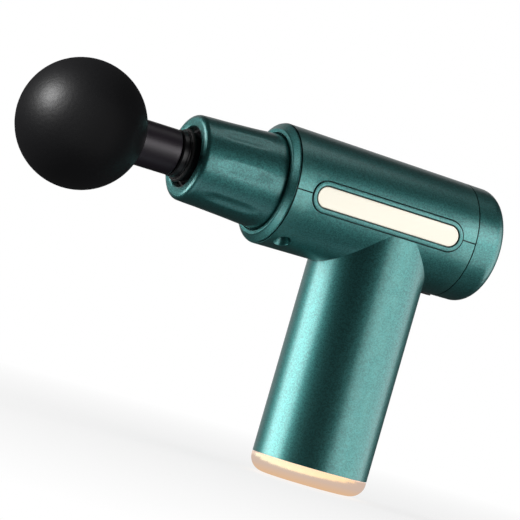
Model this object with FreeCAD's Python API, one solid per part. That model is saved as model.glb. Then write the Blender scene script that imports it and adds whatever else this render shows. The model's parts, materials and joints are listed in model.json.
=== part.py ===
import FreeCAD, Part
import math
import os

from FreeCAD import Rotation, Vector

# Hand-held massage gun: a round barrel over a round handle, with a ball head that a crank drives.
# The frame: origin at the centre of the handle's flat base, +Z up the handle, -X towards the head,
# +Y to the user's right. Everything in the barrel is given by x and by its height h above the
# barrel axis. "Left" pieces are on the -Y side.

# ---- driving dimensions, in mm ----
AXIS_Z = 101.3            # barrel axis above the base
BARREL_R_FRONT = 22.5     # barrel radius where it meets the front ring
BARREL_R_JOINT = 21.6     # barrel radius where it meets the rear cap
RING_JOINT_X = -47.3      # joint between the shells and the front ring
CAP_JOINT_X = 29.0        # joint between the shells and the rear cap
BARREL_END_X = 42.5       # rear face
WALL = 2.2                # thickness of the mouldings
HANDLE_R = 21.7
BASE_CAP_H = 6.3          # height of the handle's bottom cap
NOSE_R_BACK = 17.6        # nose sleeve, at the front ring
NOSE_R_FRONT = 15.7       # nose sleeve, at its lip
NOSE_BASE_X = -50.9
LIP_X = -82.6
MOUTH_R = 11.0
STEM_R = 8.35
BALL_R = 23.3
BALL_X = -124.5
STROKE = 8.0              # full travel of the massage head
ROD_L = 32.0              # connecting rod, between its pin centres
PLUNGER_R = 9.0
PLUNGER_FRONT_X = -87.6
CELL_R = 9.0
CELL_L = 50.0

# ---- clearances, in mm ----
RUN = 0.05                # radial play of a part that turns or slides
FIT = 0.1                 # gap between pieces that are assembled and stay put
SEAM = 0.4                # open line between two mouldings

# ---- sizes that follow from them ----
CRANK_R = STROKE / 2
WRIST_X = CRANK_R - ROD_L
HANDLE_CAVITY_R = HANDLE_R - WALL
SHELL_LEN = CAP_JOINT_X - RING_JOINT_X
NOSE_SLOPE = (NOSE_R_BACK - NOSE_R_FRONT) / (NOSE_BASE_X - LIP_X)
HANDLE_FOOT_Z = BASE_CAP_H + SEAM
PLATE_H = -23.5           # top of the motor bracket's plate
PLATE_T = 2.0
PAD_T = 1.5               # rubber mount
SHELF_T = 2.0
SHELF_H = PLATE_H - PLATE_T - PAD_T - SHELF_T
CHEEK_Y = 16.4            # inner face of the bracket's cheeks
CHEEK_T = 1.8
CHEEK_HALF_W = 6.0
GUIDE_R = 12.8
GUIDE_BACK_X = -19.5
GUIDE_FRONT_X = -74.0
BUSH_R = 11.0
WELL_X = -41.9            # screw wells under the front of the barrel
WELL_Y = 11.25
WELL_R = 3.0
BOARD_X = 31.0            # front face of the control board
BOARD_T = 1.6
MOUNT_R = 15.8            # circle of the bracket's four screws
CELL_Y = CELL_R + 0.15
CELL_Z = 15.8
WIRE_R = 0.7


def barrel_r(x):
    """Outer radius of the tapered barrel at x."""
    return BARREL_R_FRONT - (BARREL_R_FRONT - BARREL_R_JOINT) * (x - RING_JOINT_X) / SHELL_LEN


def nose_r(x):
    """Outer radius of the nose sleeve at x."""
    return NOSE_R_BACK + NOSE_SLOPE * (x - NOSE_BASE_X)


def edges_of(points, place):
    """Closed outline through points; ("arc", middle, end) makes a three-point arc."""
    edges = []
    last = place(points[0])
    for item in list(points[1:]) + [points[0]]:
        if item[0] == "arc":
            end = place(item[2])
            edges.append(Part.Arc(last, place(item[1]), end).toShape())
        else:
            end = place(item)
            if end.distanceToPoint(last) > 1e-6:
                edges.append(Part.makeLine(last, end))
        last = end
    return edges


def axial(points):
    """Solid turned about the barrel axis from an outline of (x, radius)."""
    face = Part.Face(Part.Wire(edges_of(points, lambda p: Vector(p[0], 0, AXIS_Z + p[1]))))
    return face.revolve(Vector(0, 0, AXIS_Z), Vector(1, 0, 0), 360)


def upright(points, x=0.0, y=0.0):
    """Solid turned about a vertical line from an outline of (radius, z)."""
    face = Part.Face(Part.Wire(edges_of(points, lambda p: Vector(x + p[0], y, p[1]))))
    return face.revolve(Vector(x, y, 0), Vector(0, 0, 1), 360)


def bar(x1, x2, r, y=0.0, h=0.0):
    """Cylinder along X."""
    return Part.makeCylinder(r, x2 - x1, Vector(x1, y, AXIS_Z + h), Vector(1, 0, 0))


def tube(x1, x2, r_in, r_out):
    """Tube on the barrel axis."""
    return bar(x1, x2, r_out).cut(bar(x1 - 1, x2 + 1, r_in))


def post(x, y, z1, z2, r):
    """Vertical cylinder."""
    return Part.makeCylinder(r, z2 - z1, Vector(x, y, z1))


def ring(z1, z2, r_in, r_out, x=0.0, y=0.0):
    """Vertical tube."""
    return post(x, y, z1, z2, r_out).cut(post(x, y, z1 - 1, z2 + 1, r_in))


def block(x1, x2, y1, y2, z1, z2):
    """Box between two corners."""
    return Part.makeBox(x2 - x1, y2 - y1, z2 - z1, Vector(x1, y1, z1))


def stadium(x1, x2, half, y1, y2):
    """Round-ended bar lying along X on the barrel's centre height, from y1 to y2."""
    low = min(y1, y2)
    depth = abs(y2 - y1)
    middle = block(x1 + half, x2 - half, low, low + depth, AXIS_Z - half, AXIS_Z + half)
    ends = [
        Part.makeCylinder(half, depth, Vector(x, low, AXIS_Z), Vector(0, 1, 0))
        for x in (x1 + half, x2 - half)
    ]
    return middle.fuse(ends).removeSplitter()


def upright_stadium(half_len, half_w, z1, z2, along_x=True):
    """Vertical bar of round-ended section, centred on the handle's axis."""
    shift = half_len - half_w
    ends = []
    for sign in (-1, 1):
        x, y = (sign * shift, 0) if along_x else (0, sign * shift)
        ends.append(post(x, y, z1, z2, half_w))
    if along_x:
        middle = block(-shift, shift, -half_w, half_w, z1, z2)
    else:
        middle = block(-half_w, half_w, -shift, shift, z1, z2)
    return middle.fuse(ends).removeSplitter()


def cone_solid(x1, x2, offset):
    """Solid of the barrel's taper between x1 and x2, its radius moved by offset."""
    return axial([(x1, 0), (x2, 0), (x2, barrel_r(x2) + offset), (x1, barrel_r(x1) + offset)])


def turned(shape, degrees):
    """Copy turned about the handle's axis."""
    copy = shape.copy()
    copy.rotate(Vector(0, 0, 0), Vector(0, 0, 1), degrees)
    return copy


def rolled(shape, degrees):
    """Copy turned about the barrel axis."""
    copy = shape.copy()
    copy.rotate(Vector(0, 0, AXIS_Z), Vector(1, 0, 0), degrees)
    return copy


def screw(tip, head_base, head_top, r, head_r):
    """Cross-head screw from tip to head_top, with a rounded head and a cross recess."""
    direction = head_top.sub(tip)
    direction.normalize()
    shank = Part.makeCylinder(r, head_base.distanceToPoint(tip), tip, direction)
    head_h = head_top.distanceToPoint(head_base)
    head = Part.makeCylinder(head_r, head_h, head_base, direction)
    head = head.makeFillet(head_h * 0.35, [head.Edges[0]])
    slot_w = head_r * 0.3
    slot_l = head_r * 1.2
    slot = Part.makeBox(slot_l, slot_w, head_h, Vector(-slot_l / 2, -slot_w / 2, head_h * 0.5))
    cross = slot.fuse(turned(slot, 90))
    cross.Placement = FreeCAD.Placement(head_base, Rotation(Vector(0, 0, 1), direction))
    return shank.fuse(head).cut(cross)


def lead(points, r):
    """Round wire along a smooth curve."""
    curve = Part.BSplineCurve()
    curve.interpolate([Vector(*p) for p in points])
    start = curve.value(curve.FirstParameter)
    section = Part.Wire(Part.makeCircle(r, start, curve.tangent(curve.FirstParameter)[0]))
    return Part.Wire(curve.toShape()).makePipeShell([section], True, True)


# ---------------------------------------------------------------- side strips
STRIP_X1 = -39.2
STRIP_X2 = 21.8
STRIP_HALF = 4.25
BEZEL_W = 1.45
BEZEL_PROUD = 0.35
BEZEL_DEPTH = 1.2
POCKET_GAP = 0.4


def strip_prism(grow, side):
    """Round-ended bar through one side of the barrel, grown about the strip's outline."""
    return stadium(
        STRIP_X1 - grow, STRIP_X2 + grow, STRIP_HALF + grow, side * 10, side * (BARREL_R_FRONT + 5)
    )


def strip_pocket(side):
    """Recess in the shells that the bezel and the strip sit in."""
    floor = cone_solid(STRIP_X1 - 5, STRIP_X2 + 5, -BEZEL_DEPTH)
    return strip_prism(BEZEL_W + POCKET_GAP, side).cut(floor)


def bezel(side):
    skin = cone_solid(STRIP_X1 - 4, STRIP_X2 + 4, BEZEL_PROUD)
    skin = skin.cut(cone_solid(STRIP_X1 - 5, STRIP_X2 + 5, FIT - BEZEL_DEPTH))
    return skin.common(strip_prism(BEZEL_W, side)).cut(strip_prism(0, side))


def strip(side):
    skin = cone_solid(STRIP_X1 - 4, STRIP_X2 + 4, BEZEL_PROUD - 0.15)
    skin = skin.cut(cone_solid(STRIP_X1 - 5, STRIP_X2 + 5, FIT - BEZEL_DEPTH))
    return skin.common(strip_prism(-POCKET_GAP, side))


# ---------------------------------------------------------------- housing
PLUG_X = 25.8
PLUG_HALF_L = 3.0
PLUG_HALF_W = 1.8
PLUG_PROUD = 0.5
PLUG_SUNK = 0.4
CAP_SCREW_HEAD_H = 0.8
SCREW_R = 1.15
PILOT_R = 1.2
WELL_WALL = 0.9
WELL_SEAT_H = -14.6
WELL_TOP_H = -13.0
SNAP_Z = 8.4


def barrel_tube():
    """The whole tapered barrel tube that both shells are cut from."""
    outer = cone_solid(RING_JOINT_X, CAP_JOINT_X, 0)
    return outer.cut(cone_solid(RING_JOINT_X - 0.01, CAP_JOINT_X + 0.01, -WALL))


def plug_prism(grow, h1, h2):
    """Vertical oval bar at the plug under the rear of the barrel."""
    shape = upright_stadium(PLUG_HALF_L + grow, PLUG_HALF_W + grow, AXIS_Z + h1, AXIS_Z + h2)
    shape.translate(Vector(PLUG_X, 0, 0))
    return shape


def upper_shell():
    big = BARREL_R_FRONT + 5
    keep = block(RING_JOINT_X - 1, CAP_JOINT_X + 1, -big, big, AXIS_Z + SEAM / 2, AXIS_Z + big)
    shell = barrel_tube().common(keep)
    rib_depth = 1.4
    for rib_x in (-26.0, 12.0):
        rib = cone_solid(rib_x, rib_x + 1.5, -WALL + 0.2)
        rib = rib.cut(bar(rib_x - 1, rib_x + 3, barrel_r(rib_x) - WALL - rib_depth))
        rib = rib.common(block(rib_x, rib_x + 2, -9, 9, AXIS_Z, AXIS_Z + big))
        shell = shell.fuse(rib)
    for side in (-1, 1):
        shell = shell.cut(strip_pocket(side))
    return shell.removeSplitter()


def lower_shell():
    big = BARREL_R_FRONT + 5
    barrel_outer = cone_solid(RING_JOINT_X, CAP_JOINT_X, 0)
    handle_outer = post(0, 0, HANDLE_FOOT_Z, AXIS_Z - 1, HANDLE_R)
    cavity = cone_solid(RING_JOINT_X - 1, CAP_JOINT_X + 1, -WALL)
    cavity = cavity.fuse(post(0, 0, HANDLE_FOOT_Z - 1, AXIS_Z - 2, HANDLE_CAVITY_R))
    upper = block(RING_JOINT_X - 2, CAP_JOINT_X + 2, -big, big, AXIS_Z - SEAM / 2, AXIS_Z + big)
    shell = barrel_outer.fuse(handle_outer).cut(cavity).cut(upper)
    shelf = ring(AXIS_Z + SHELF_H, AXIS_Z + SHELF_H + SHELF_T, 13.5, HANDLE_CAVITY_R + 0.3)
    shelf = shelf.cut(block(9, 30, -8, 8, AXIS_Z + SHELF_H - 1, AXIS_Z + SHELF_H + 3))
    for k in range(4):
        hole = post(MOUNT_R, 0, AXIS_Z + SHELF_H - 1, AXIS_Z + SHELF_H + 3, PILOT_R)
        shelf = shelf.cut(turned(hole, 45 + 90 * k))
    shell = shell.fuse(shelf)
    inside = cone_solid(RING_JOINT_X, 0, -0.3)
    for side in (-1, 1):
        boss = post(WELL_X, side * WELL_Y, AXIS_Z - big, AXIS_Z + WELL_TOP_H, WELL_R + WELL_WALL)
        shell = shell.fuse(boss.common(inside))
    for side in (-1, 1):
        shell = shell.cut(post(WELL_X, side * WELL_Y, AXIS_Z - big, AXIS_Z + WELL_SEAT_H, WELL_R))
        shell = shell.cut(post(WELL_X, side * WELL_Y, AXIS_Z - big, AXIS_Z, PILOT_R + FIT))
        shell = shell.cut(strip_pocket(side))
    skin_h = -barrel_r(PLUG_X)
    shell = shell.cut(plug_prism(0.05, skin_h - 2, skin_h + PLUG_SUNK))
    head_floor = skin_h + PLUG_SUNK + CAP_SCREW_HEAD_H
    shell = shell.cut(post(PLUG_X, 0, AXIS_Z + skin_h - 2, AXIS_Z + head_floor, PLUG_HALF_W + 0.05))
    shell = shell.cut(post(PLUG_X, 0, AXIS_Z + skin_h - 2, AXIS_Z - 17, PILOT_R + FIT))
    snap_groove = ring(SNAP_Z - 0.6, SNAP_Z + 0.6, HANDLE_CAVITY_R - 1, HANDLE_CAVITY_R + 0.35)
    return shell.cut(snap_groove).removeSplitter()


RING_FACE_X = -50.0
RING_FACE_R = 19.75       # outer edge of the ring's flat front face


def front_ring():
    """Bevelled ring that closes the front of both shells round the nose."""
    back_x = RING_JOINT_X - SEAM
    bore = NOSE_R_BACK + 0.5
    spigot_r = BARREL_R_FRONT - WALL - FIT
    spigot_x = RING_JOINT_X + 1.3
    return axial([
        (back_x, BARREL_R_FRONT - 0.2),
        (back_x - 0.3, BARREL_R_FRONT - 0.25),
        ("arc", (RING_FACE_X + 0.95, RING_FACE_R + 1.5), (RING_FACE_X + 0.15, RING_FACE_R + 0.2)),
        (RING_FACE_X, RING_FACE_R),
        (RING_FACE_X, bore + 0.25),
        (RING_FACE_X + 0.25, bore),
        (spigot_x, bore),
        (spigot_x, spigot_r),
        (back_x, spigot_r),
    ])


FLUTE_COUNT = 8
FLUTE_LEN = 22.0
FLUTE_DEPTH = 0.45
FLUTE_TUBE_R = 5.0
FLUTE_MID_X = -66.0


def nose_sleeve():
    """Tapered sleeve with a rounded lip, a flange inside the ring and shallow flutes round it."""
    flange_x = RING_JOINT_X + 1.4
    flange_t = 1.5
    flange_r = BARREL_R_FRONT - WALL - 0.3
    wall = 2.2
    seat_r = 13.3
    seat_x = LIP_X + 2.6
    sleeve = axial([
        (flange_x, nose_r(NOSE_BASE_X)),
        (NOSE_BASE_X, NOSE_R_BACK),
        (LIP_X + 2.3, nose_r(LIP_X + 2.3)),
        ("arc", (LIP_X + 0.35, nose_r(LIP_X) - 0.75), (LIP_X, 13.6)),
        ("arc", (LIP_X + 0.15, 11.9), (LIP_X + 1.1, MOUTH_R)),
        (seat_x, MOUTH_R),
        (seat_x, seat_r),
        (seat_x + 4.6, seat_r),
        (NOSE_BASE_X, NOSE_R_BACK - wall),
        (flange_x + flange_t, NOSE_R_BACK - wall),
        (flange_x + flange_t, flange_r),
        (flange_x, flange_r),
    ])
    for side in (-1, 1):
        sleeve = sleeve.cut(post(WELL_X, side * WELL_Y, AXIS_Z - 25, AXIS_Z, WELL_R + WELL_WALL + 0.3))
    outer_r = FLUTE_LEN ** 2 / (8 * FLUTE_DEPTH)
    norm = math.hypot(1, NOSE_SLOPE)
    lift = outer_r - FLUTE_DEPTH
    centre = Vector(
        FLUTE_MID_X - NOSE_SLOPE / norm * lift, 0, AXIS_Z + nose_r(FLUTE_MID_X) + lift / norm
    )
    flute = Part.makeTorus(outer_r - FLUTE_TUBE_R, FLUTE_TUBE_R, centre, Vector(0, 1, 0))
    near = bar(LIP_X, NOSE_BASE_X + 5, NOSE_R_BACK + 2)
    flute = flute.common(near)
    for k in range(FLUTE_COUNT):
        sleeve = sleeve.cut(rolled(flute, 360 / FLUTE_COUNT * k))
    return sleeve


def mouth_bush():
    """Dark ring set back in the mouth of the nose."""
    front = LIP_X + 2.7
    r_in = PLUNGER_R + 0.2
    return axial([
        (front, r_in + 0.5),
        (front + 0.5, r_in),
        (front + 4.4, r_in),
        (front + 4.4, 13.2),
        (front, 13.2),
    ])


CAP_FILLET = 5.8
FACE_T = 2.0
BUTTON_R = 6.3
LED_ARC_R = 9.8
LED_R = 0.9
LED_ANGLES = (50, 70, 90, 110, 130)
STANDOFF_R = 12.4
STANDOFF_ANGLES = (0, 180, 270)


def rear_cap():
    """Round rear cap with the button hole, the light holes and the standoffs for the board."""
    start = CAP_JOINT_X + SEAM
    skin_r = BARREL_R_JOINT - 0.1
    bend_x = BARREL_END_X - CAP_FILLET
    bend_r = skin_r - CAP_FILLET
    c45 = CAP_FILLET * math.sqrt(0.5)
    inner_fillet = CAP_FILLET - FACE_T
    i45 = inner_fillet * math.sqrt(0.5)
    face_x = BARREL_END_X - FACE_T
    spigot_r = BARREL_R_JOINT - WALL - 0.1
    cap = axial([
        (start, BARREL_R_JOINT),
        (bend_x, skin_r),
        ("arc", (bend_x + c45, bend_r + c45), (BARREL_END_X, bend_r)),
        (BARREL_END_X, BUTTON_R + 0.2),
        (face_x, BUTTON_R + 0.2),
        (face_x, bend_r),
        ("arc", (bend_x + i45, bend_r + i45), (bend_x, skin_r - FACE_T)),
        (start + 1.5, spigot_r - 1.7),
        (CAP_JOINT_X - 4.7, spigot_r - 1.7),
        (CAP_JOINT_X - 4.7, spigot_r),
        (start, spigot_r),
    ])
    for angle in LED_ANGLES:
        y = LED_ARC_R * math.cos(math.radians(angle))
        h = LED_ARC_R * math.sin(math.radians(angle))
        cap = cap.cut(bar(face_x - 1, BARREL_END_X + 1, LED_R + FIT / 2, y, h))
    for angle in STANDOFF_ANGLES:
        y = STANDOFF_R * math.cos(math.radians(angle))
        h = STANDOFF_R * math.sin(math.radians(angle))
        cap = cap.fuse(bar(BOARD_X + BOARD_T + 0.05, face_x + 0.5, 2.0, y, h))
        cap = cap.cut(bar(BOARD_X, BOARD_X + 7, PILOT_R, y, h))
    return cap.cut(post(PLUG_X, 0, AXIS_Z - 20, AXIS_Z - 14, PILOT_R))


def screw_plug():
    """Oval rubber plug over the rear cap's screw."""
    skin_h = -barrel_r(PLUG_X)
    plug = plug_prism(0, skin_h - PLUG_PROUD, skin_h + PLUG_SUNK - 0.05)
    low = [e for e in plug.Edges if e.BoundBox.ZMax < AXIS_Z + skin_h - PLUG_PROUD + 0.01]
    return plug.makeFillet(0.4, low)


def rear_cap_screw():
    top = AXIS_Z - barrel_r(PLUG_X) + PLUG_SUNK
    floor = top + CAP_SCREW_HEAD_H
    return screw(
        Vector(PLUG_X, 0, AXIS_Z - 16), Vector(PLUG_X, 0, floor), Vector(PLUG_X, 0, top), SCREW_R, 1.75
    )


def shell_screws():
    """The two screws in the wells, from below into the guide's lugs."""
    floor = AXIS_Z + WELL_SEAT_H
    return [
        screw(
            Vector(WELL_X, side * WELL_Y, AXIS_Z - 7.5),
            Vector(WELL_X, side * WELL_Y, floor),
            Vector(WELL_X, side * WELL_Y, floor - 1.6),
            SCREW_R,
            2.5,
        )
        for side in (-1, 1)
    ]


# ---------------------------------------------------------------- base
BASE_FILLET = 5.6
FLOOR_T = 2.2
CHARGE_Z = 9.2
USB_X = 8.0               # the port sits behind the base's centre
USB_HALF_L = 4.47
USB_HALF_W = 1.6
CHARGE_POST_Y = 12.5


def port_prism(grow, z1, z2):
    """Upright bar of the charging port's outline, grown outwards."""
    shape = upright_stadium(USB_HALF_L + grow, USB_HALF_W + grow, z1, z2, False)
    shape.translate(Vector(USB_X, 0, 0))
    return shape


def bottom_cap():
    """Snap-in cap with the handle's flat base and the charging port."""
    flat_r = HANDLE_R - BASE_FILLET
    c45 = BASE_FILLET * (1 - math.sqrt(0.5))
    spigot_r = HANDLE_CAVITY_R - 0.2
    inner_r = spigot_r - 1.3
    cap = upright([
        (0, 0),
        (flat_r, 0),
        ("arc", (HANDLE_R - c45, c45), (HANDLE_R, BASE_FILLET)),
        (HANDLE_R, BASE_CAP_H),
        (spigot_r, BASE_CAP_H),
        (spigot_r, SNAP_Z - 0.5),
        (HANDLE_CAVITY_R + 0.25, SNAP_Z),
        (spigot_r, SNAP_Z + 0.5),
        (spigot_r, SNAP_Z + 1.9),
        (inner_r, SNAP_Z + 1.9),
        (inner_r, BASE_FILLET),
        ("arc", (inner_r - 0.8, BASE_FILLET - 1.8), (inner_r - 2.6, FLOOR_T)),
        (0, FLOOR_T),
    ])
    for side in (-1, 1):
        cap = cap.fuse(post(0, side * CHARGE_POST_Y, FLOOR_T - 0.2, CHARGE_Z - 0.05, 2.2))
        cap = cap.cut(post(0, side * CHARGE_POST_Y, FLOOR_T + 1, CHARGE_Z + 1, PILOT_R))
    return cap.cut(port_prism(0.2, -1, FLOOR_T + 1))


def usb_socket():
    """Charging socket: a metal shell with the contact tongue inside."""
    mouth_z = 0.6
    skin = 0.3
    shell = port_prism(0, mouth_z, CHARGE_Z - 0.05)
    shell = shell.cut(port_prism(-skin, mouth_z - 1, CHARGE_Z - 1))
    tongue = block(USB_X - 0.35, USB_X + 0.35, -3.35, 3.35, mouth_z + 0.9, CHARGE_Z - 0.5)
    return shell.fuse(tongue)


def charge_board():
    """Charging circuit: a round board with its parts on top."""
    board = post(0, 0, CHARGE_Z, CHARGE_Z + BOARD_T, 16.5)
    for side in (-1, 1):
        board = board.cut(post(0, side * CHARGE_POST_Y, CHARGE_Z - 1, CHARGE_Z + 3, PILOT_R + FIT))
    top = CHARGE_Z + BOARD_T
    chip_sizes = ((-6, 4, 4.0, 4.0, 1.0), (1, -7, 5.0, 3.0, 1.2), (4, 5, 2.5, 2.5, 1.4))
    for x, y, length, width, height in chip_sizes:
        board = board.fuse(block(x, x + length, y, y + width, top, top + height))
    return board


def charge_board_screws():
    top = CHARGE_Z + BOARD_T
    return [
        screw(
            Vector(0, side * CHARGE_POST_Y, 5), Vector(0, side * CHARGE_POST_Y, top),
            Vector(0, side * CHARGE_POST_Y, top + 1.3), SCREW_R, 2.0,
        )
        for side in (-1, 1)
    ]


# ---------------------------------------------------------------- battery
HOLDER_HALF_W = CELL_R + 0.85
HOLDER_HALF_L = CELL_Y + HOLDER_HALF_W


def battery_cells():
    """Two round lithium cells side by side, one turned over."""
    cells = []
    for side in (-1, 1):
        groove_z = CELL_Z + CELL_L - 3.5
        cell = upright([
            (0, CELL_Z),
            (CELL_R - 0.5, CELL_Z),
            (CELL_R, CELL_Z + 0.5),
            (CELL_R, groove_z),
            (CELL_R - 0.5, groove_z + 0.6),
            (CELL_R, groove_z + 1.2),
            (CELL_R, CELL_Z + CELL_L - 1.2),
            (CELL_R - 0.5, CELL_Z + CELL_L - 0.8),
            (3.2, CELL_Z + CELL_L - 0.8),
            (3.0, CELL_Z + CELL_L),
            (0, CELL_Z + CELL_L),
        ])
        if side > 0:
            cell.rotate(Vector(0, 0, CELL_Z + CELL_L / 2), Vector(1, 0, 0), 180)
        cell.translate(Vector(0, side * CELL_Y, 0))
        cells.append(cell)
    return cells


def cell_pockets(z1, z2):
    return [post(0, side * CELL_Y, z1, z2, CELL_R + RUN) for side in (-1, 1)]


def cell_holder_bottom():
    holder = upright_stadium(HOLDER_HALF_L, HOLDER_HALF_W, CELL_Z - 2.6, CELL_Z + 3, False)
    for pocket in cell_pockets(CELL_Z - 0.02, CELL_Z + 10):
        holder = holder.cut(pocket)
    for side in (-1, 1):
        holder = holder.cut(block(-4.2, 4.2, side * CELL_Y - 4.2, side * CELL_Y + 4.2,
                                  CELL_Z - 0.4, CELL_Z + 1))
        holder = holder.cut(post(0, side * CELL_Y, CELL_Z - 5, CELL_Z, 2.0))
    return holder


def cell_holder_top():
    top = CELL_Z + CELL_L
    holder = upright_stadium(HOLDER_HALF_L, HOLDER_HALF_W, top - 4, top + 1.6, False)
    for pocket in cell_pockets(top - 10, top + 0.02):
        holder = holder.cut(pocket)
    return holder.cut(block(-4.3, 4.3, -CELL_Y - 4.5, CELL_Y + 4.5, top - 1, top + 0.4))


def cell_links():
    """Nickel strips: one joins the cells at the top, two are tabs at the bottom."""
    strip_t = 0.25
    top = CELL_Z + CELL_L + 0.05
    link = block(-4.0, 4.0, -CELL_Y - 4.0, CELL_Y + 4.0, top, top + strip_t)
    low = CELL_Z - 0.05 - strip_t
    tabs = [
        block(-4.0, 4.0, side * CELL_Y - 4.0, side * CELL_Y + 4.0, low, low + strip_t)
        for side in (-1, 1)
    ]
    return [link] + tabs


# ---------------------------------------------------------------- drive frame
def motor_bracket():
    """Cradle: a plate under the motor, two cheeks beside it and two arms to the guide's flange."""
    low = AXIS_Z + PLATE_H - PLATE_T
    plate = post(0, 0, low, AXIS_Z + PLATE_H, CHEEK_Y + CHEEK_T)
    arm_half_h = 6.0
    frame = plate
    for side in (-1, 1):
        near, far = sorted((side * CHEEK_Y, side * (CHEEK_Y + CHEEK_T)))
        frame = frame.fuse(block(-CHEEK_HALF_W, CHEEK_HALF_W, near, far, low, AXIS_Z + arm_half_h))
        frame = frame.fuse(block(GUIDE_BACK_X + FIT, CHEEK_HALF_W, near, far,
                                 AXIS_Z - arm_half_h, AXIS_Z + arm_half_h))
        near, far = sorted((side * 11.5, side * (CHEEK_Y + CHEEK_T)))
        frame = frame.fuse(block(GUIDE_BACK_X + FIT, GUIDE_BACK_X + FIT + 2, near, far,
                                 AXIS_Z - arm_half_h, AXIS_Z + arm_half_h))
        for h in (-3.5, 3.5):
            frame = frame.cut(bar(GUIDE_BACK_X - 1, GUIDE_BACK_X + 4, PILOT_R, side * 14.5, h))
    frame = frame.cut(block(13.5, 30, -8, 8, low - 1, AXIS_Z + PLATE_H + 1))
    frame = frame.cut(post(0, 0, low - 1, AXIS_Z + PLATE_H + 1, 3.0))
    for k in range(4):
        hole = post(MOUNT_R, 0, low - 1, AXIS_Z + PLATE_H + 1, PILOT_R + FIT)
        frame = frame.cut(turned(hole, 45 + 90 * k))
    for k in range(3):
        hole = post(8, 0, low - 1, AXIS_Z + PLATE_H + 1, PILOT_R)
        frame = frame.cut(turned(hole, 60 + 120 * k))
    return frame.removeSplitter()


def rubber_mounts():
    low = AXIS_Z + SHELF_H + SHELF_T
    pad = ring(low + 0.02, low + PAD_T - 0.02, PILOT_R + FIT, 2.6, MOUNT_R)
    return [turned(pad, 45 + 90 * k) for k in range(4)]


def bracket_screws():
    top = AXIS_Z + PLATE_H
    one = screw(Vector(MOUNT_R, 0, AXIS_Z + SHELF_H + 0.2), Vector(MOUNT_R, 0, top),
                Vector(MOUNT_R, 0, top + 1.4), SCREW_R, 2.1)
    return [turned(one, 45 + 90 * k) for k in range(4)]


def guide_cylinder():
    """Guide for the plunger, with a bush seat at each end, a rear flange and two lugs."""
    seat_r = BUSH_R + 0.02
    flange_t = 2.5
    shoulder_front = GUIDE_FRONT_X + 14
    shoulder_back = GUIDE_BACK_X - 18.5
    guide = axial([
        (GUIDE_FRONT_X, seat_r),
        (shoulder_front, seat_r),
        (shoulder_front, seat_r - 1),
        (shoulder_back, seat_r - 1),
        (shoulder_back, seat_r),
        (GUIDE_BACK_X, seat_r),
        (GUIDE_BACK_X, 17.6),
        (GUIDE_BACK_X - flange_t, 17.6),
        (GUIDE_BACK_X - flange_t, GUIDE_R),
        (GUIDE_FRONT_X, GUIDE_R),
    ])
    for side in (-1, 1):
        lug = post(WELL_X, side * WELL_Y, AXIS_Z + WELL_TOP_H + FIT, AXIS_Z - 5.5, 3.4)
        guide = guide.fuse(lug.cut(bar(WELL_X - 5, WELL_X + 5, GUIDE_R - 0.5)))
        guide = guide.cut(post(WELL_X, side * WELL_Y, AXIS_Z - 20, AXIS_Z - 7, PILOT_R))
        for h in (-3.5, 3.5):
            guide = guide.cut(bar(GUIDE_BACK_X - 5, GUIDE_BACK_X + 1, PILOT_R + FIT, side * 14.5, h))
    return guide.removeSplitter()


def guide_screws():
    face = GUIDE_BACK_X - 2.5
    return [
        screw(Vector(GUIDE_BACK_X + 2.4, side * 14.5, AXIS_Z + h), Vector(face, side * 14.5, AXIS_Z + h),
              Vector(face - 1.4, side * 14.5, AXIS_Z + h), SCREW_R, 1.6)
        for side in (-1, 1)
        for h in (-3.5, 3.5)
    ]


def guide_bushes():
    """Plain bushes at both ends of the guide."""
    bush_l = 13.8
    r_in = PLUNGER_R + RUN
    return [
        tube(GUIDE_FRONT_X + 0.1, GUIDE_FRONT_X + 0.1 + bush_l, r_in, BUSH_R),
        tube(GUIDE_BACK_X - 4.6 - bush_l, GUIDE_BACK_X - 4.6, r_in, BUSH_R),
    ]


# ---------------------------------------------------------------- motor
BELL_R = 15.8
BELL_LOW_H = -20.5
BELL_TOP_H = -8.5
MAGNET_R = 14.85
STATOR_R = 13.3
SHAFT_R = 1.5
BEARING_R = 4.0
BEARING_W = 3.0
BEARING_H = (-22.6, -13.4)      # undersides of the two shaft bearings
RACE_IN_R = 2.2
RACE_OUT_R = 3.3
BALL_PITCH_R = 2.75
BEARING_BALL_R = 0.5
BALL_COUNT = 8
SLOT_COUNT = 9
MAGNET_COUNT = 12


def motor_base():
    """Motor foot with the tube that carries the stator and both bearings."""
    low = AXIS_Z + PLATE_H + 0.02
    base = upright([
        (2.4, low), (12.0, low), (12.0, low + 1.6), (11.4, low + 2.2), (5.2, low + 2.2),
        (5.2, AXIS_Z - 10.2), (BEARING_R + 0.02, AXIS_Z - 10.2),
        (BEARING_R + 0.02, AXIS_Z + BEARING_H[1] - 0.02), (3.4, AXIS_Z + BEARING_H[1] - 0.02),
        (3.4, AXIS_Z + BEARING_H[0] + BEARING_W + 0.02),
        (BEARING_R + 0.02, AXIS_Z + BEARING_H[0] + BEARING_W + 0.02),
        (BEARING_R + 0.02, AXIS_Z + BEARING_H[0] - 0.02), (2.4, AXIS_Z + BEARING_H[0] - 0.02),
    ])
    for k in range(3):
        base = base.cut(turned(post(8, 0, low - 1, low + 1.9, 1.05), 60 + 120 * k))
    return base


def motor_screws():
    low = AXIS_Z + PLATE_H - PLATE_T
    one = screw(Vector(8, 0, low + 3.6), Vector(8, 0, low), Vector(8, 0, low - 1.2), 1.0, 1.9)
    return [turned(one, 60 + 120 * k) for k in range(3)]


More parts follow.
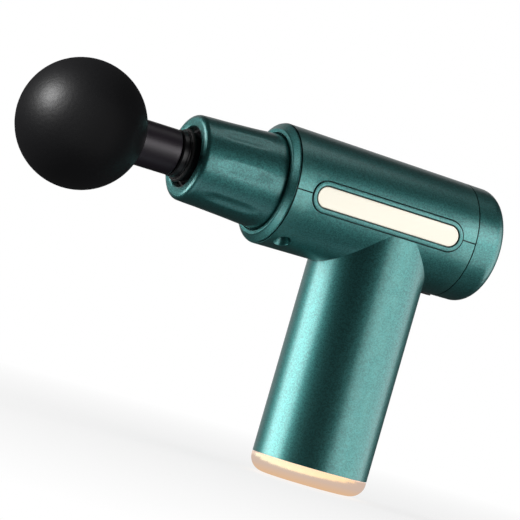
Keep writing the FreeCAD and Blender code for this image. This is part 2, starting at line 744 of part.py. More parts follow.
def motor_stator():
    """Laminated core with nine teeth."""
    low = AXIS_Z - 19.4
    high = AXIS_Z - 11.6
    core = ring(low, high, 5.25, 7.6)
    tooth = block(7.2, 12.6, -0.9, 0.9, low, high)
    shoe = ring(low, high, 12.2, STATOR_R).common(block(10, 15, -3.4, 3.4, low, high))
    tooth = tooth.fuse(shoe)
    for k in range(SLOT_COUNT):
        core = core.fuse(turned(tooth, 360 / SLOT_COUNT * k))
    return core.removeSplitter()


def motor_windings():
    """One copper coil on each tooth."""
    coil = block(8.4, 11.9, -1.75, 1.75, AXIS_Z - 20.1, AXIS_Z - 10.9)
    coil = coil.makeFillet(0.7, [e for e in coil.Edges if e.BoundBox.XLength > 3])
    coil = coil.cut(block(8, 12.5, -0.95, 0.95, AXIS_Z - 19.45, AXIS_Z - 11.55))
    return [turned(coil, 360 / SLOT_COUNT * k) for k in range(SLOT_COUNT)]


def rotor_bell():
    """Steel bell that turns round the stator, with cooling holes in its top."""
    top = AXIS_Z + BELL_TOP_H
    low = AXIS_Z + BELL_LOW_H
    bell = upright([
        (SHAFT_R + 0.02, top), (BELL_R - 0.8, top), (BELL_R, top - 0.8), (BELL_R, low),
        (BELL_R - 0.9, low), (BELL_R - 0.9, top - 1.2), (SHAFT_R + 0.02, top - 1.2),
    ])
    for k in range(6):
        bell = bell.cut(turned(post(9, 0, top - 3, top + 1, 2.0), 60 * k))
    return bell


def rotor_magnets():
    gap = 3.0
    step = 360 / MAGNET_COUNT
    low = AXIS_Z - 19.8
    high = AXIS_Z - 11.2
    face = [(STATOR_R + 0.3, low), (MAGNET_R, low), (MAGNET_R, high), (STATOR_R + 0.3, high)]
    wire = Part.Wire(edges_of(face, lambda p: Vector(p[0], 0, p[1])))
    magnet = Part.Face(wire).revolve(Vector(0, 0, 0), Vector(0, 0, 1), step - gap)
    return [turned(magnet, step * k) for k in range(MAGNET_COUNT)]


def motor_shaft():
    low = AXIS_Z + PLATE_H + 0.4
    high = AXIS_Z - 3.6
    return upright([
        (0, low), (SHAFT_R - 0.2, low), (SHAFT_R, low + 0.2), (SHAFT_R, high - 0.2),
        (SHAFT_R - 0.2, high), (0, high),
    ])


def bearing_outer_races():
    return [ring(AXIS_Z + h, AXIS_Z + h + BEARING_W, RACE_OUT_R, BEARING_R) for h in BEARING_H]


def bearing_inner_races():
    return [ring(AXIS_Z + h, AXIS_Z + h + BEARING_W, SHAFT_R + 0.02, RACE_IN_R) for h in BEARING_H]


def bearing_balls():
    balls = []
    for h in BEARING_H:
        ball = Part.makeSphere(BEARING_BALL_R, Vector(BALL_PITCH_R, 0, AXIS_Z + h + BEARING_W / 2))
        balls += [turned(ball, 360 / BALL_COUNT * k) for k in range(BALL_COUNT)]
    return balls


def bearing_cages():
    """Thin rings with a round window for each ball."""
    cages = []
    half_t = 0.2
    for h in BEARING_H:
        middle = AXIS_Z + h + BEARING_W / 2
        cage = ring(middle - 0.9, middle + 0.9, BALL_PITCH_R - half_t, BALL_PITCH_R + half_t)
        window = Part.makeCylinder(BEARING_BALL_R + 0.04, 2, Vector(2, 0, middle), Vector(1, 0, 0))
        for k in range(BALL_COUNT):
            cage = cage.cut(turned(window, 360 / BALL_COUNT * k))
        cages.append(cage)
    return cages


# ---------------------------------------------------------------- crank, rod and plunger
ECCENTRIC_R = 14.0
ECCENTRIC_TOP_H = -3.4
PIN_R = 3.0
ROD_HALF_T = 2.5


def eccentric_wheel():
    """Wheel on the motor shaft, with a counterweight on the side away from the crank pin."""
    hub_low = AXIS_Z - 8.3
    disc_low = AXIS_Z + ECCENTRIC_TOP_H - 2.6
    top = AXIS_Z + ECCENTRIC_TOP_H
    wheel = post(0, 0, disc_low, top, ECCENTRIC_R)
    wheel = wheel.makeFillet(0.5, [e for e in wheel.Edges if e.BoundBox.ZMin > top - 0.01])
    wheel = wheel.fuse(post(0, 0, hub_low, disc_low + 0.5, 5.0))
    weight = ring(hub_low, disc_low + 0.5, 6.5, ECCENTRIC_R).common(
        block(-20, -1, -20, 20, hub_low, disc_low + 0.5))
    wheel = wheel.fuse(weight)
    wheel = wheel.cut(post(0, 0, hub_low - 1, top + 1, SHAFT_R + 0.02))
    for y in (-9, 9):
        wheel = wheel.cut(post(3.5, y, disc_low - 1, top + 1, 2.2))
    screw_z = hub_low + 1.1
    screw_hole = Part.makeCylinder(0.85, 8, Vector(SHAFT_R, 0, screw_z), Vector(1, 0, 0))
    return wheel.cut(screw_hole).removeSplitter()


def eccentric_set_screw():
    screw_z = AXIS_Z - 8.3 + 1.1
    body = Part.makeCylinder(0.8, 3.3, Vector(SHAFT_R + 0.05, 0, screw_z), Vector(1, 0, 0))
    key = Part.makeCylinder(0.4, 1.2, Vector(SHAFT_R + 2.4, 0, screw_z), Vector(1, 0, 0))
    return body.cut(key)


def con_rod():
    """Connecting rod between the crank pin's bearing and the wrist pin."""
    low = AXIS_Z - ROD_HALF_T
    high = AXIS_Z + ROD_HALF_T
    big = post(CRANK_R, 0, low, high, 8.6)
    small = post(WRIST_X, 0, low, high, 4.6)
    shank = block(WRIST_X, CRANK_R, -3.0, 3.0, low, high)
    groove = block(WRIST_X + 7, CRANK_R - 10.5, -1.7, 1.7, high - 1.2, high + 1)
    rod = big.fuse(small).fuse(shank).cut(groove)
    rod = rod.cut(block(WRIST_X + 7, CRANK_R - 10.5, -1.7, 1.7, low - 1, low + 1.2))
    rod = rod.cut(post(CRANK_R, 0, low - 1, high + 1, 6.52))
    return rod.cut(post(WRIST_X, 0, low - 1, high + 1, 2.0 + RUN)).removeSplitter()


def big_end_bearing():
    """Ball bearing in the rod's big end: two races and nine balls."""
    low = AXIS_Z - ROD_HALF_T
    high = AXIS_Z + ROD_HALF_T
    groove_r = 1.0
    pitch = 4.75
    track = Part.makeTorus(pitch, groove_r + 0.03, Vector(CRANK_R, 0, AXIS_Z))
    outer = ring(low, high, 5.2, 6.5, CRANK_R).cut(track)
    inner = ring(low, high, PIN_R + 0.02, 4.3, CRANK_R).cut(track)
    balls = []
    for k in range(9):
        angle = math.radians(40 * k)
        centre = Vector(CRANK_R + pitch * math.cos(angle), pitch * math.sin(angle), AXIS_Z)
        balls.append(Part.makeSphere(groove_r, centre))
    return [outer, inner] + balls


def crank_pin():
    """Headed pin; its lower end stops just above the eccentric wheel."""
    low = AXIS_Z + ECCENTRIC_TOP_H + 0.2
    high = AXIS_Z + ROD_HALF_T
    return upright([
        (0, low), (PIN_R - 0.2, low), (PIN_R, low + 0.2), (PIN_R, high + 0.02),
        (PIN_R + 1.0, high + 0.02), (PIN_R + 1.0, high + 0.9), (PIN_R + 0.6, high + 1.3), (0, high + 1.3),
    ], CRANK_R)


LINER_R = 7.0
SOCKET_X = -63.6
SHANK_R = 5.95
RING_GROOVE_X = (-84.0, -70.0)


def plunger():
    """Reciprocating plunger: a fork for the rod at the back, a socket for the head at the front."""
    back_x = -22.0
    neck_x = PLUNGER_FRONT_X + 2.2
    wiper_x = PLUNGER_FRONT_X + 3.4
    body = axial([
        (PLUNGER_FRONT_X, LINER_R), (PLUNGER_FRONT_X, 8.2), (PLUNGER_FRONT_X + 0.4, 8.6),
        (neck_x, 8.6), (neck_x, PLUNGER_R), (wiper_x - 0.8, PLUNGER_R), (wiper_x - 0.8, 8.3),
        (wiper_x + 0.8, 8.3), (wiper_x + 0.8, PLUNGER_R), (back_x - 0.4, PLUNGER_R),
        (back_x, PLUNGER_R - 0.4), (back_x, 0), (SOCKET_X, 0), (SOCKET_X, LINER_R),
    ])
    slot = block(WRIST_X - 6, back_x + 1, -12, 12, AXIS_Z - ROD_HALF_T - 0.15, AXIS_Z + ROD_HALF_T + 0.15)
    body = body.cut(slot)
    return body.cut(post(WRIST_X, 0, AXIS_Z - 12, AXIS_Z + 12, 2.02))


def wiper_ring():
    """Rubber ring in the plunger's front groove."""
    middle = PLUNGER_FRONT_X + 3.4
    return axial([
        (middle - 0.7, 8.35), (middle - 0.7, 9.3), ("arc", (middle, 9.8), (middle + 0.7, 9.3)),
        (middle + 0.7, 8.35),
    ])


def wrist_pin():
    half = 8.4
    return upright([
        (0, AXIS_Z - half), (1.8, AXIS_Z - half), (2.0, AXIS_Z - half + 0.2),
        (2.0, AXIS_Z + half - 0.2), (1.8, AXIS_Z + half), (0, AXIS_Z + half),
    ], WRIST_X)


def socket_liner():
    """Plastic liner of the plunger's socket."""
    r_in = SHANK_R + 0.1
    return axial([
        (PLUNGER_FRONT_X + 0.3, r_in + 0.3), (PLUNGER_FRONT_X + 0.6, r_in), (SOCKET_X - 1.1, r_in),
        (SOCKET_X - 1.1, LINER_R - 0.05), (PLUNGER_FRONT_X + 0.3, LINER_R - 0.05),
    ])


def socket_damper():
    """Rubber disc at the bottom of the socket."""
    return bar(SOCKET_X - 1.0, SOCKET_X - 0.05, LINER_R - 0.1)


# ---------------------------------------------------------------- massage head
CORE_R = 12.0
CORE_FLAT_X = BALL_X + 8.8


def massage_ball():
    """Soft foam ball moulded round the core."""
    ball = Part.makeSphere(BALL_R, Vector(BALL_X, 0, AXIS_Z))
    ball = ball.cut(Part.makeSphere(CORE_R + 0.05, Vector(BALL_X, 0, AXIS_Z)))
    return ball.cut(bar(BALL_X + 5, BALL_X + BALL_R + 2, STEM_R + 0.05))


def ball_core():
    core = Part.makeSphere(CORE_R, Vector(BALL_X, 0, AXIS_Z))
    core = core.cut(bar(CORE_FLAT_X, BALL_X + 30, CORE_R + 5))
    return core.cut(bar(BALL_X - 2, CORE_FLAT_X + 1, 5.03))


def head_stem():
    """Black stem: a spigot in the core, the visible neck, and the shank that plugs in."""
    shoulder_x = PLUNGER_FRONT_X - 0.4
    end_x = SOCKET_X - 1.4
    outline = [
        (BALL_X - 1.5, 0), (BALL_X - 1.5, 4.6), (BALL_X - 1.1, 5.0), (CORE_FLAT_X + 0.1, 5.0),
        (CORE_FLAT_X + 0.1, STEM_R), (shoulder_x - 0.5, STEM_R), (shoulder_x, STEM_R - 0.5),
        (shoulder_x, SHANK_R),
    ]
    for groove_x in RING_GROOVE_X:
        outline += [
            (groove_x - 0.85, SHANK_R), (groove_x - 0.85, 4.4), (groove_x + 0.85, 4.4),
            (groove_x + 0.85, SHANK_R),
        ]
    outline += [(end_x - 1.0, SHANK_R), (end_x, SHANK_R - 1.0), (end_x, 0)]
    return axial(outline)


def stem_o_rings():
    return [
        Part.makeTorus(5.2, 0.75, Vector(x, 0, AXIS_Z), Vector(1, 0, 0)) for x in RING_GROOVE_X
    ]


# ---------------------------------------------------------------- rear controls
SWITCH_X = BOARD_X + BOARD_T
BUTTON_STEM_X = 37.5


def power_button():
    """Dished round button with a flange behind the cap's face and a stem to the switch."""
    face_x = BARREL_END_X - FACE_T
    return axial([
        (BUTTON_STEM_X, 0), (BUTTON_STEM_X, 2.0), (face_x - 1.4, 2.0), (face_x - 1.4, BUTTON_R + 1.1),
        (face_x - 0.2, BUTTON_R + 1.1), (face_x - 0.2, BUTTON_R), (BARREL_END_X + 0.1, BUTTON_R),
        ("arc", (BARREL_END_X + 0.5, BUTTON_R - 0.2), (BARREL_END_X + 0.65, BUTTON_R - 0.8)),
        ("arc", (BARREL_END_X + 0.32, BUTTON_R - 2.8), (BARREL_END_X + 0.25, BUTTON_R - 4.8)),
        (BARREL_END_X + 0.25, 0),
    ])


def switch_plunger():
    return bar(BUTTON_STEM_X - 2.4, BUTTON_STEM_X - 0.02, 1.7)


def tact_switch():
    body = block(SWITCH_X + 0.02, 36.0, -3.1, 3.1, AXIS_Z - 3.1, AXIS_Z + 3.1)
    return body.cut(bar(34.3, 37, 1.7 + RUN))


def led_light_guide():
    """Clear arc with five light pipes that show through the cap's face."""
    face_x = BARREL_END_X - FACE_T
    arc = tube(face_x - 2.2, face_x - 0.9, LED_ARC_R - 1.2, LED_ARC_R + 1.2)
    arc = arc.common(block(face_x - 3, face_x, -8.5, 8.5, AXIS_Z + 5, AXIS_Z + 15))
    for angle in LED_ANGLES:
        y = LED_ARC_R * math.cos(math.radians(angle))
        h = LED_ARC_R * math.sin(math.radians(angle))
        arc = arc.fuse(bar(face_x - 1.5, BARREL_END_X + 0.05, LED_R, y, h))
    return arc.removeSplitter()


def control_board():
    board = bar(BOARD_X, BOARD_X + BOARD_T, 15.2)
    for angle in STANDOFF_ANGLES:
        y = STANDOFF_R * math.cos(math.radians(angle))
        h = STANDOFF_R * math.sin(math.radians(angle))
        board = board.cut(bar(BOARD_X - 1, BOARD_X + 4, PILOT_R + FIT, y, h))
    return board


def board_parts():
    """Controller, six power transistors, a capacitor and the light-emitting diodes."""
    front = BOARD_X - 0.02
    parts = [block(front - 1.0, front, -2.5, 2.5, AXIS_Z + 4, AXIS_Z + 9)]
    for k in range(6):
        y = -7.5 + 3.0 * k - 0.9
        parts.append(block(front - 0.9, front, y, y + 1.8, AXIS_Z - 1.5, AXIS_Z + 1.5))
    parts.append(bar(front - 8.0, front, 2.5, 8.0, 6.5))
    for angle in LED_ANGLES:
        y = LED_ARC_R * math.cos(math.radians(angle))
        h = LED_ARC_R * math.sin(math.radians(angle))
        parts.append(block(SWITCH_X + 0.02, SWITCH_X + 0.8, y - 0.6, y + 0.6,
                           AXIS_Z + h - 0.6, AXIS_Z + h + 0.6))
    return parts


def board_screws():
    screws = []
    for angle in STANDOFF_ANGLES:
        y = STANDOFF_R * math.cos(math.radians(angle))
        z = AXIS_Z + STANDOFF_R * math.sin(math.radians(angle))
        screws.append(screw(Vector(BOARD_X + 6.5, y, z), Vector(BOARD_X, y, z),
                            Vector(BOARD_X - 1.3, y, z), SCREW_R, 1.9))
    return screws


# ---------------------------------------------------------------- leads
def rising_lead(y, start, end_h):
    """Lead that rises behind the motor and turns back to the control board."""
    points = list(start) + [
        (17.3, y, AXIS_Z - 16), (18.6, y, AXIS_Z - 12.5), (24.0, y, AXIS_Z + end_h - 1),
        (27.5, y, AXIS_Z + end_h), (BOARD_X - 0.1, y, AXIS_Z + end_h),
    ]
    return lead(points, WIRE_R)


def motor_leads():
    """Three phase wires."""
    leads = []
    for y in (-1.9, 0.0, 1.9):
        start = [(12.3, y, AXIS_Z - 22.3), (15.2, y, AXIS_Z - 21.9), (17.2, y, AXIS_Z - 19.4)]
        leads.append(rising_lead(y, start, -6.0))
    return leads


def battery_leads():
    """Two wires from the top of the battery."""
    top = CELL_Z + CELL_L + 1.6 + WIRE_R + 1.2
    leads = []
    for y in (-4.0, 4.0):
        start = [(6.0, y, top), (11.0, y, top), (16.6, y, top + 3), (17.4, y, AXIS_Z - 24)]
        leads.append(rising_lead(y, start, -6.0))
    return leads


def charge_leads():
    """Two wires from the charging board, up beside the cells."""
    leads = []
    for y in (-6.2, 6.2):
        start = [
            (12.6, y, CHARGE_Z + BOARD_T + 0.1), (12.8, y, CHARGE_Z + 5), (15.4, y, 24.0),
            (15.8, y, 45.0), (15.8, y, 68.0), (16.6, y, AXIS_Z - 24),
        ]
        leads.append(rising_lead(y, start, -6.0))
    return leads


PIECES = {
    "upper_shell": upper_shell,
    "lower_shell": lower_shell,
    "front_ring": front_ring,
    "nose_sleeve": nose_sleeve,
    "mouth_bush": mouth_bush,
    "rear_cap": rear_cap,
    "screw_plug": screw_plug,
    "rear_cap_screw": rear_cap_screw,
    "shell_screws": shell_screws,
    "left_bezel": lambda: bezel(-1),
    "right_bezel": lambda: bezel(1),
    "left_strip": lambda: strip(-1),
    "right_strip": lambda: strip(1),
    "bottom_cap": bottom_cap,
    "usb_socket": usb_socket,
    "charge_board": charge_board,
    "charge_board_screws": charge_board_screws,
    "battery_cells": battery_cells,
    "cell_holder_bottom": cell_holder_bottom,
    "cell_holder_top": cell_holder_top,
    "cell_links": cell_links,
    "motor_bracket": motor_bracket,
    "rubber_mounts": rubber_mounts,
    "bracket_screws": bracket_screws,
    "guide_cylinder": guide_cylinder,
    "guide_screws": guide_screws,
    "guide_bushes": guide_bushes,
    "motor_base": motor_base,
    "motor_screws": motor_screws,
    "motor_stator": motor_stator,
    "motor_windings": motor_windings,
    "rotor_bell": rotor_bell,
    "rotor_magnets": rotor_magnets,
    "motor_shaft": motor_shaft,
    "bearing_outer_races": bearing_outer_races,
    "bearing_inner_races": bearing_inner_races,
    "bearing_balls": bearing_balls,
    "bearing_cages": bearing_cages,
    "eccentric_wheel": eccentric_wheel,
    "eccentric_set_screw": eccentric_set_screw,
    "con_rod": con_rod,
    "big_end_bearing": big_end_bearing,
    "crank_pin": crank_pin,
    "plunger": plunger,
    "wiper_ring": wiper_ring,
    "wrist_pin": wrist_pin,
    "socket_liner": socket_liner,
    "socket_damper": socket_damper,
    "massage_ball": massage_ball,
    "ball_core": ball_core,
    "head_stem": head_stem,
    "stem_o_rings": stem_o_rings,
    "power_button": power_button,
    "switch_plunger": switch_plunger,
    "tact_switch": tact_switch,
    "led_light_guide": led_light_guide,
    "control_board": control_board,
    "board_parts": board_parts,
    "board_screws": board_screws,
    "leads": lambda: motor_leads() + battery_leads() + charge_leads(),
}


def write_pieces():
    os.makedirs("parts", exist_ok=True)
    for name, make in PIECES.items():
        made = make()
        solids = []
        for shape in made if isinstance(made, list) else [made]:
            solids += shape.Solids
        whole = solids[0] if len(solids) == 1 else Part.makeCompound(solids)
        whole.exportStep(os.path.join("parts", name + ".step"))
        print(name, len(solids), "solids", "valid" if whole.isValid() else "NOT VALID")


write_pieces()
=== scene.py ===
import json
import math

import bmesh
import bpy
import numpy as np
from mathutils import Matrix, Vector, noise


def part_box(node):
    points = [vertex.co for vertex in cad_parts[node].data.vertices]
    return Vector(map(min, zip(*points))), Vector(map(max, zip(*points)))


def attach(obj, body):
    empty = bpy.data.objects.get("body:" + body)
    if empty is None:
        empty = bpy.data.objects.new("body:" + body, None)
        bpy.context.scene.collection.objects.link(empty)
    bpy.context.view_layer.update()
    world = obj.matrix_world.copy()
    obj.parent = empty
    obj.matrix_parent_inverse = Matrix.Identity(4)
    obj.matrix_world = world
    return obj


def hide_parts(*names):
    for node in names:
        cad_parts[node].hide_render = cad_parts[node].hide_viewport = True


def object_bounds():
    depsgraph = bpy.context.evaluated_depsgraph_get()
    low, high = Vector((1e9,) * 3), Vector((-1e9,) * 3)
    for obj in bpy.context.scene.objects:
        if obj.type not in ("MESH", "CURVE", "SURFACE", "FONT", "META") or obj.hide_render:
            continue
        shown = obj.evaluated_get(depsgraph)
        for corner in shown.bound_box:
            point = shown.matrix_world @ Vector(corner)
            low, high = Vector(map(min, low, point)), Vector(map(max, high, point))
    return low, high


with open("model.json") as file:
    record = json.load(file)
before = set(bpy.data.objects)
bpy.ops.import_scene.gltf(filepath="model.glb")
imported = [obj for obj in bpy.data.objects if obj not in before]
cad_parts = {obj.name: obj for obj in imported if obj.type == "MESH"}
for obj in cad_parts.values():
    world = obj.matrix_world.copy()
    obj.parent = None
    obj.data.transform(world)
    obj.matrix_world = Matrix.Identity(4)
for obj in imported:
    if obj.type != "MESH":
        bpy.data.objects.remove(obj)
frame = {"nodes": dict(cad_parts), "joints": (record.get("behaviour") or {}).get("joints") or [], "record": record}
cad_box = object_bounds()

# ---------------------------------------------------------------- places from the frame, in metres
MM = 0.001
NODES = frame["nodes"]
JOINTS = {joint["name"]: joint for joint in frame["joints"]}
AXIS_Z = JOINTS["motor_spin"]["pos_m"][2]               # height of the barrel's axis


def low(node, letter):
    """Lowest place of a node along x, y or z."""
    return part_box(node)[0]["xyz".index(letter)]


def high(node, letter):
    """Highest place of a node along x, y or z."""
    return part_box(node)[1]["xyz".index(letter)]


SHELL_X1 = low("upper_shell", "x")
SHELL_X2 = high("upper_shell", "x")
BARREL_R1 = high("upper_shell", "z") - AXIS_Z          # at the front ring
BARREL_R2 = high("rear_cap", "y")                      # at the rear cap
RING_X1 = low("front_ring", "x")
RING_X2 = high("front_ring", "x")
NOSE_X1 = low("nose_sleeve", "x")
STRIP_X1, STRIP_X2 = low("left_strip", "x"), high("left_strip", "x")
STRIP_HALF = (high("left_strip", "z") - low("left_strip", "z")) / 2
BEZEL_X1, BEZEL_X2 = low("left_bezel", "x"), high("left_bezel", "x")
BEZEL_HALF = (high("left_bezel", "z") - low("left_bezel", "z")) / 2
BALL_R = (high("massage_ball", "z") - low("massage_ball", "z")) / 2
BALL_X = low("massage_ball", "x") + BALL_R
STEM_R = high("head_stem", "y")
WELL_X = (low("shell_screws", "x") + high("shell_screws", "x")) / 2
WELL_HEAD_R = (high("shell_screws", "x") - low("shell_screws", "x")) / 2
WELL_Y = high("shell_screws", "y") - WELL_HEAD_R
WALL = 2.2 * MM                                         # thickness of the mouldings
SEAM = 0.4 * MM                                         # gap of the joint lines round the barrel
POCKET_GAP = 0.4 * MM                                   # gap on each side of a strip's frame
BEZEL_WIDTH = BEZEL_HALF - STRIP_HALF - POCKET_GAP


def barrel_r(x):
    """Outer radius of the tapered barrel at x."""
    return BARREL_R1 + (BARREL_R2 - BARREL_R1) * (x - SHELL_X1) / (SHELL_X2 - SHELL_X1)


# ---------------------------------------------------------------- node materials
class Finish:
    """A procedural material, built up in layers and joined to its shader by done()."""

    def __init__(self, name, colour, metallic=0.0, roughness=0.4, specular=0.5):
        self.mat = bpy.data.materials.new(name)
        self.mat.use_nodes = True
        self.tree = self.mat.node_tree
        self.bsdf = self.tree.nodes["Principled BSDF"]
        self.bsdf.inputs["Metallic"].default_value = metallic
        self.bsdf.inputs["Specular IOR Level"].default_value = specular
        self.coords = self.add("ShaderNodeTexCoord").outputs["Object"]
        self.colour = self.value(*colour)
        self.roughness = self.number(roughness)
        self.normal = None

    def add(self, kind, **inputs):
        """New node; the extra names are its inputs, with _ for a space."""
        node = self.tree.nodes.new(kind)
        for key, item in inputs.items():
            self.feed(node.inputs[key.replace("_", " ")], item)
        return node

    def feed(self, socket, item):
        """Links an output socket to an input, or sets the input to a plain value."""
        if isinstance(item, bpy.types.NodeSocket):
            self.tree.links.new(item, socket)
        else:
            socket.default_value = item

    def value(self, red, green, blue):
        """Socket that gives a plain colour."""
        node = self.add("ShaderNodeRGB")
        node.outputs[0].default_value = (red, green, blue, 1)
        return node.outputs[0]

    def number(self, x):
        """Socket that gives a plain number."""
        node = self.add("ShaderNodeValue")
        node.outputs[0].default_value = x
        return node.outputs[0]

    def math(self, operation, a, b=0.0, c=0.0):
        """One step of arithmetic on sockets or numbers."""
        node = self.add("ShaderNodeMath")
        node.operation = operation
        for socket, item in zip(node.inputs, (a, b, c)):
            self.feed(socket, item)
        return node.outputs[0]

    def vector(self, operation, a, b=(0, 0, 0), scale=1.0):
        """One step of arithmetic on vectors."""
        node = self.add("ShaderNodeVectorMath")
        node.operation = operation
        self.feed(node.inputs[0], a)
        if operation == "SCALE":
            self.feed(node.inputs["Scale"], scale)
        elif operation != "NORMALIZE":
            self.feed(node.inputs[1], b)
        return node.outputs[0]

    def mix(self, factor, first, second, blend="MIX"):
        """Blend of two colours; the result is an output socket."""
        node = self.add("ShaderNodeMix")
        node.data_type = "RGBA"
        node.blend_type = blend
        self.feed(node.inputs["Factor"], factor)
        colours = [socket for socket in node.inputs if socket.type == "RGBA"]
        self.feed(colours[0], first)
        self.feed(colours[1], second)
        return [socket for socket in node.outputs if socket.type == "RGBA"][0]

    def ramp(self, value, start, end, low_value=0.0, high_value=1.0):
        """Straight ramp of a value between two limits."""
        node = self.add("ShaderNodeMapRange", Value=value, From_Min=start, From_Max=end)
        node.inputs["To Min"].default_value = low_value
        node.inputs["To Max"].default_value = high_value
        return node.outputs[0]

    def noise(self, scale, detail=2.0, stretch=(1, 1, 1)):
        """Noise around 0.5; stretch below 1 lengthens the grain along that axis."""
        place = self.vector("MULTIPLY", self.coords, stretch)
        return self.add("ShaderNodeTexNoise", Vector=place, Scale=scale, Detail=detail).outputs[0]

    def brighten(self, amount, pattern):
        """Multiplies the colour by 1 + amount times the pattern, which runs from 0 to 1 about 0.5."""
        swing = self.math("MULTIPLY_ADD", pattern, 2 * amount, 1 - amount)
        grey = self.add("ShaderNodeCombineColor", Red=swing, Green=swing, Blue=swing).outputs[0]
        self.colour = self.mix(1.0, self.colour, grey, "MULTIPLY")

    def toward(self, colour, mask):
        """Mixes the colour towards another one by a mask."""
        self.colour = self.mix(mask, self.colour, (*colour, 1))

    def grain(self, scale, colour=0.05, rough=0.05, bump=0.0, stretch=(1, 1, 1), detail=2.0):
        """Fine variation of colour, roughness and height; bump is in metres."""
        pattern = self.noise(scale, detail, stretch)
        self.brighten(colour, pattern)
        smoothest = self.math("SUBTRACT", self.roughness, rough)
        self.roughness = self.math("MULTIPLY_ADD", pattern, 2 * rough, smoothest)
        if bump:
            self.raise_by(pattern, bump)

    def raise_by(self, pattern, distance):
        """Bump whose highest point stands this many metres proud."""
        node = self.add("ShaderNodeBump", Strength=1.0, Distance=distance, Height=pattern)
        if self.normal is not None:
            self.feed(node.inputs["Normal"], self.normal)
        self.normal = node.outputs[0]

    def soften(self, radius):
        """Edges catch the light as if broken by this radius."""
        self.normal = self.add("ShaderNodeBevel", Radius=radius).outputs[0]

    def flakes(self, scale, shine, tilt):
        """Metal flake: every small cell has its own brightness and leans its own way."""
        cells = self.add("ShaderNodeTexVoronoi", Vector=self.coords, Scale=scale).outputs["Color"]
        split = self.add("ShaderNodeSeparateColor", Color=cells)
        self.brighten(shine, split.outputs[0])
        lean = self.vector("SCALE", self.vector("SUBTRACT", cells, (0.5, 0.5, 0.5)), scale=tilt)
        base = self.normal or self.add("ShaderNodeNewGeometry").outputs["Normal"]
        self.normal = self.vector("NORMALIZE", self.vector("ADD", base, lean))

    def paint_gap_shade(self, distance, amount):
        """Painted shade: the colour darkens in narrow gaps, where the surface is closed in."""
        closed, clear = 0.25, 0.75
        open_sky = self.add("ShaderNodeAmbientOcclusion", Distance=distance)
        open_sky.samples = 6
        shade = self.ramp(open_sky.outputs["AO"], closed, clear, amount, 0.0)
        self.toward((0.004, 0.006, 0.006), shade)

    def lighten_edges(self, colour, start, end, amount):
        """Edges lighter: a mask from how convex the surface is, broken up by noise."""
        convex = self.add("ShaderNodeNewGeometry").outputs["Pointiness"]
        edge = self.ramp(convex, start, end, 0.0, amount)
        broken = self.noise(scale=260, detail=3.0)
        self.toward(colour, self.math("MULTIPLY", edge, broken))

    def done(self, coat=0.0, coat_roughness=0.2, **extra):
        """Joins the layers to the shader; extra names are its other inputs."""
        self.feed(self.bsdf.inputs["Base Color"], self.colour)
        self.feed(self.bsdf.inputs["Roughness"], self.roughness)
        if self.normal is not None:
            self.feed(self.bsdf.inputs["Normal"], self.normal)
        self.bsdf.inputs["Coat Weight"].default_value = coat
        self.bsdf.inputs["Coat Roughness"].default_value = coat_roughness
        for key, item in extra.items():
            self.feed(self.bsdf.inputs[key.replace("_", " ")], item)
        return self.mat


def teal_paint():
    """Metallic lacquer: fine flake under a satin clear coat."""
    paint = Finish("teal_paint", (0.040, 0.200, 0.192), metallic=0.92, roughness=0.42)
    paint.soften(0.25 * MM)
    paint.grain(45, colour=0.03, rough=0.015)
    paint.flakes(2500, shine=0.27, tilt=0.035)
    paint.grain(1700, colour=0.05, rough=0.02, bump=0.000002)
    paint.lighten_edges((0.16, 0.42, 0.38), 0.53, 0.60, 0.35)
    # painted shade darkens the narrow gaps and seams
    paint.paint_gap_shade(0.8 * MM, 0.92)
    return paint.done(coat=1.0, coat_roughness=0.26)


def champagne():
    """Warm anodised metal with a painted glow for the bounce light of the pale table: amber at the foot, rosier
    above.
    """
    metal = Finish("champagne", (0.84, 0.60, 0.42), metallic=0.85, roughness=0.22)
    metal.grain(60, colour=0.03, rough=0.02)
    metal.grain(2400, colour=0.03, rough=0.03, bump=0.000002)
    # painted bounce light: the cap glows amber at the foot and rosier higher up
    height = metal.add("ShaderNodeSeparateXYZ", Vector=metal.coords).outputs["Z"]
    rise = metal.ramp(height, 0.3 * MM, 3.2 * MM)
    painted_bounce = metal.mix(rise, (0.98, 0.61, 0.36, 1), (0.80, 0.60, 0.50, 1))
    return metal.done(Emission_Color=painted_bounce, Emission_Strength=0.72)


def ivory():
    """Ivory plastic with a painted glow on the face that looks sideways, and none on its rounded edge."""
    plastic = Finish("ivory", (0.93, 0.87, 0.74), roughness=0.28)
    plastic.grain(35, colour=0.02, rough=0.03)
    plastic.grain(2200, colour=0.015, rough=0.03, bump=0.000004)
    # painted glow: only the face that looks sideways shines, not its rounded edge
    outward = plastic.add("ShaderNodeTexCoord").outputs["Normal"]
    sideways = plastic.add("ShaderNodeSeparateXYZ", Vector=outward).outputs["Y"]
    painted_glow = plastic.ramp(plastic.math("ABSOLUTE", sideways), 0.80, 0.97, 0.0, 0.40)
    warm = (1.0, 0.96, 0.80, 1)
    return plastic.done(coat=0.35, coat_roughness=0.12, Emission_Color=warm, Emission_Strength=painted_glow)


def black_foam():
    """Dense foam with a fine open grain; its weak glow is painted light that lifts its shadows."""
    foam = Finish("black_foam", (0.0050, 0.0050, 0.0056), roughness=0.46, specular=0.35)
    foam.grain(30, colour=0.10, rough=0.02)
    foam.grain(2600, colour=0.25, rough=0.06, bump=0.00002, detail=3.0)
    foam.grain(900, colour=0.08, rough=0.02, bump=0.00001)
    # painted fill light: a faint glow lifts the foam's shadows
    return foam.done(Emission_Color=(0.9, 0.9, 1.0, 1), Emission_Strength=0.0035)


def black_plastic():
    """Gloss black moulding, greyer along its edges."""
    plastic = Finish("black_plastic", (0.011, 0.010, 0.012), roughness=0.34)
    plastic.grain(50, colour=0.08, rough=0.04)
    plastic.grain(1800, colour=0.06, rough=0.05, bump=0.000006)
    plastic.lighten_edges((0.05, 0.05, 0.055), 0.54, 0.62, 0.4)
    return plastic.done()


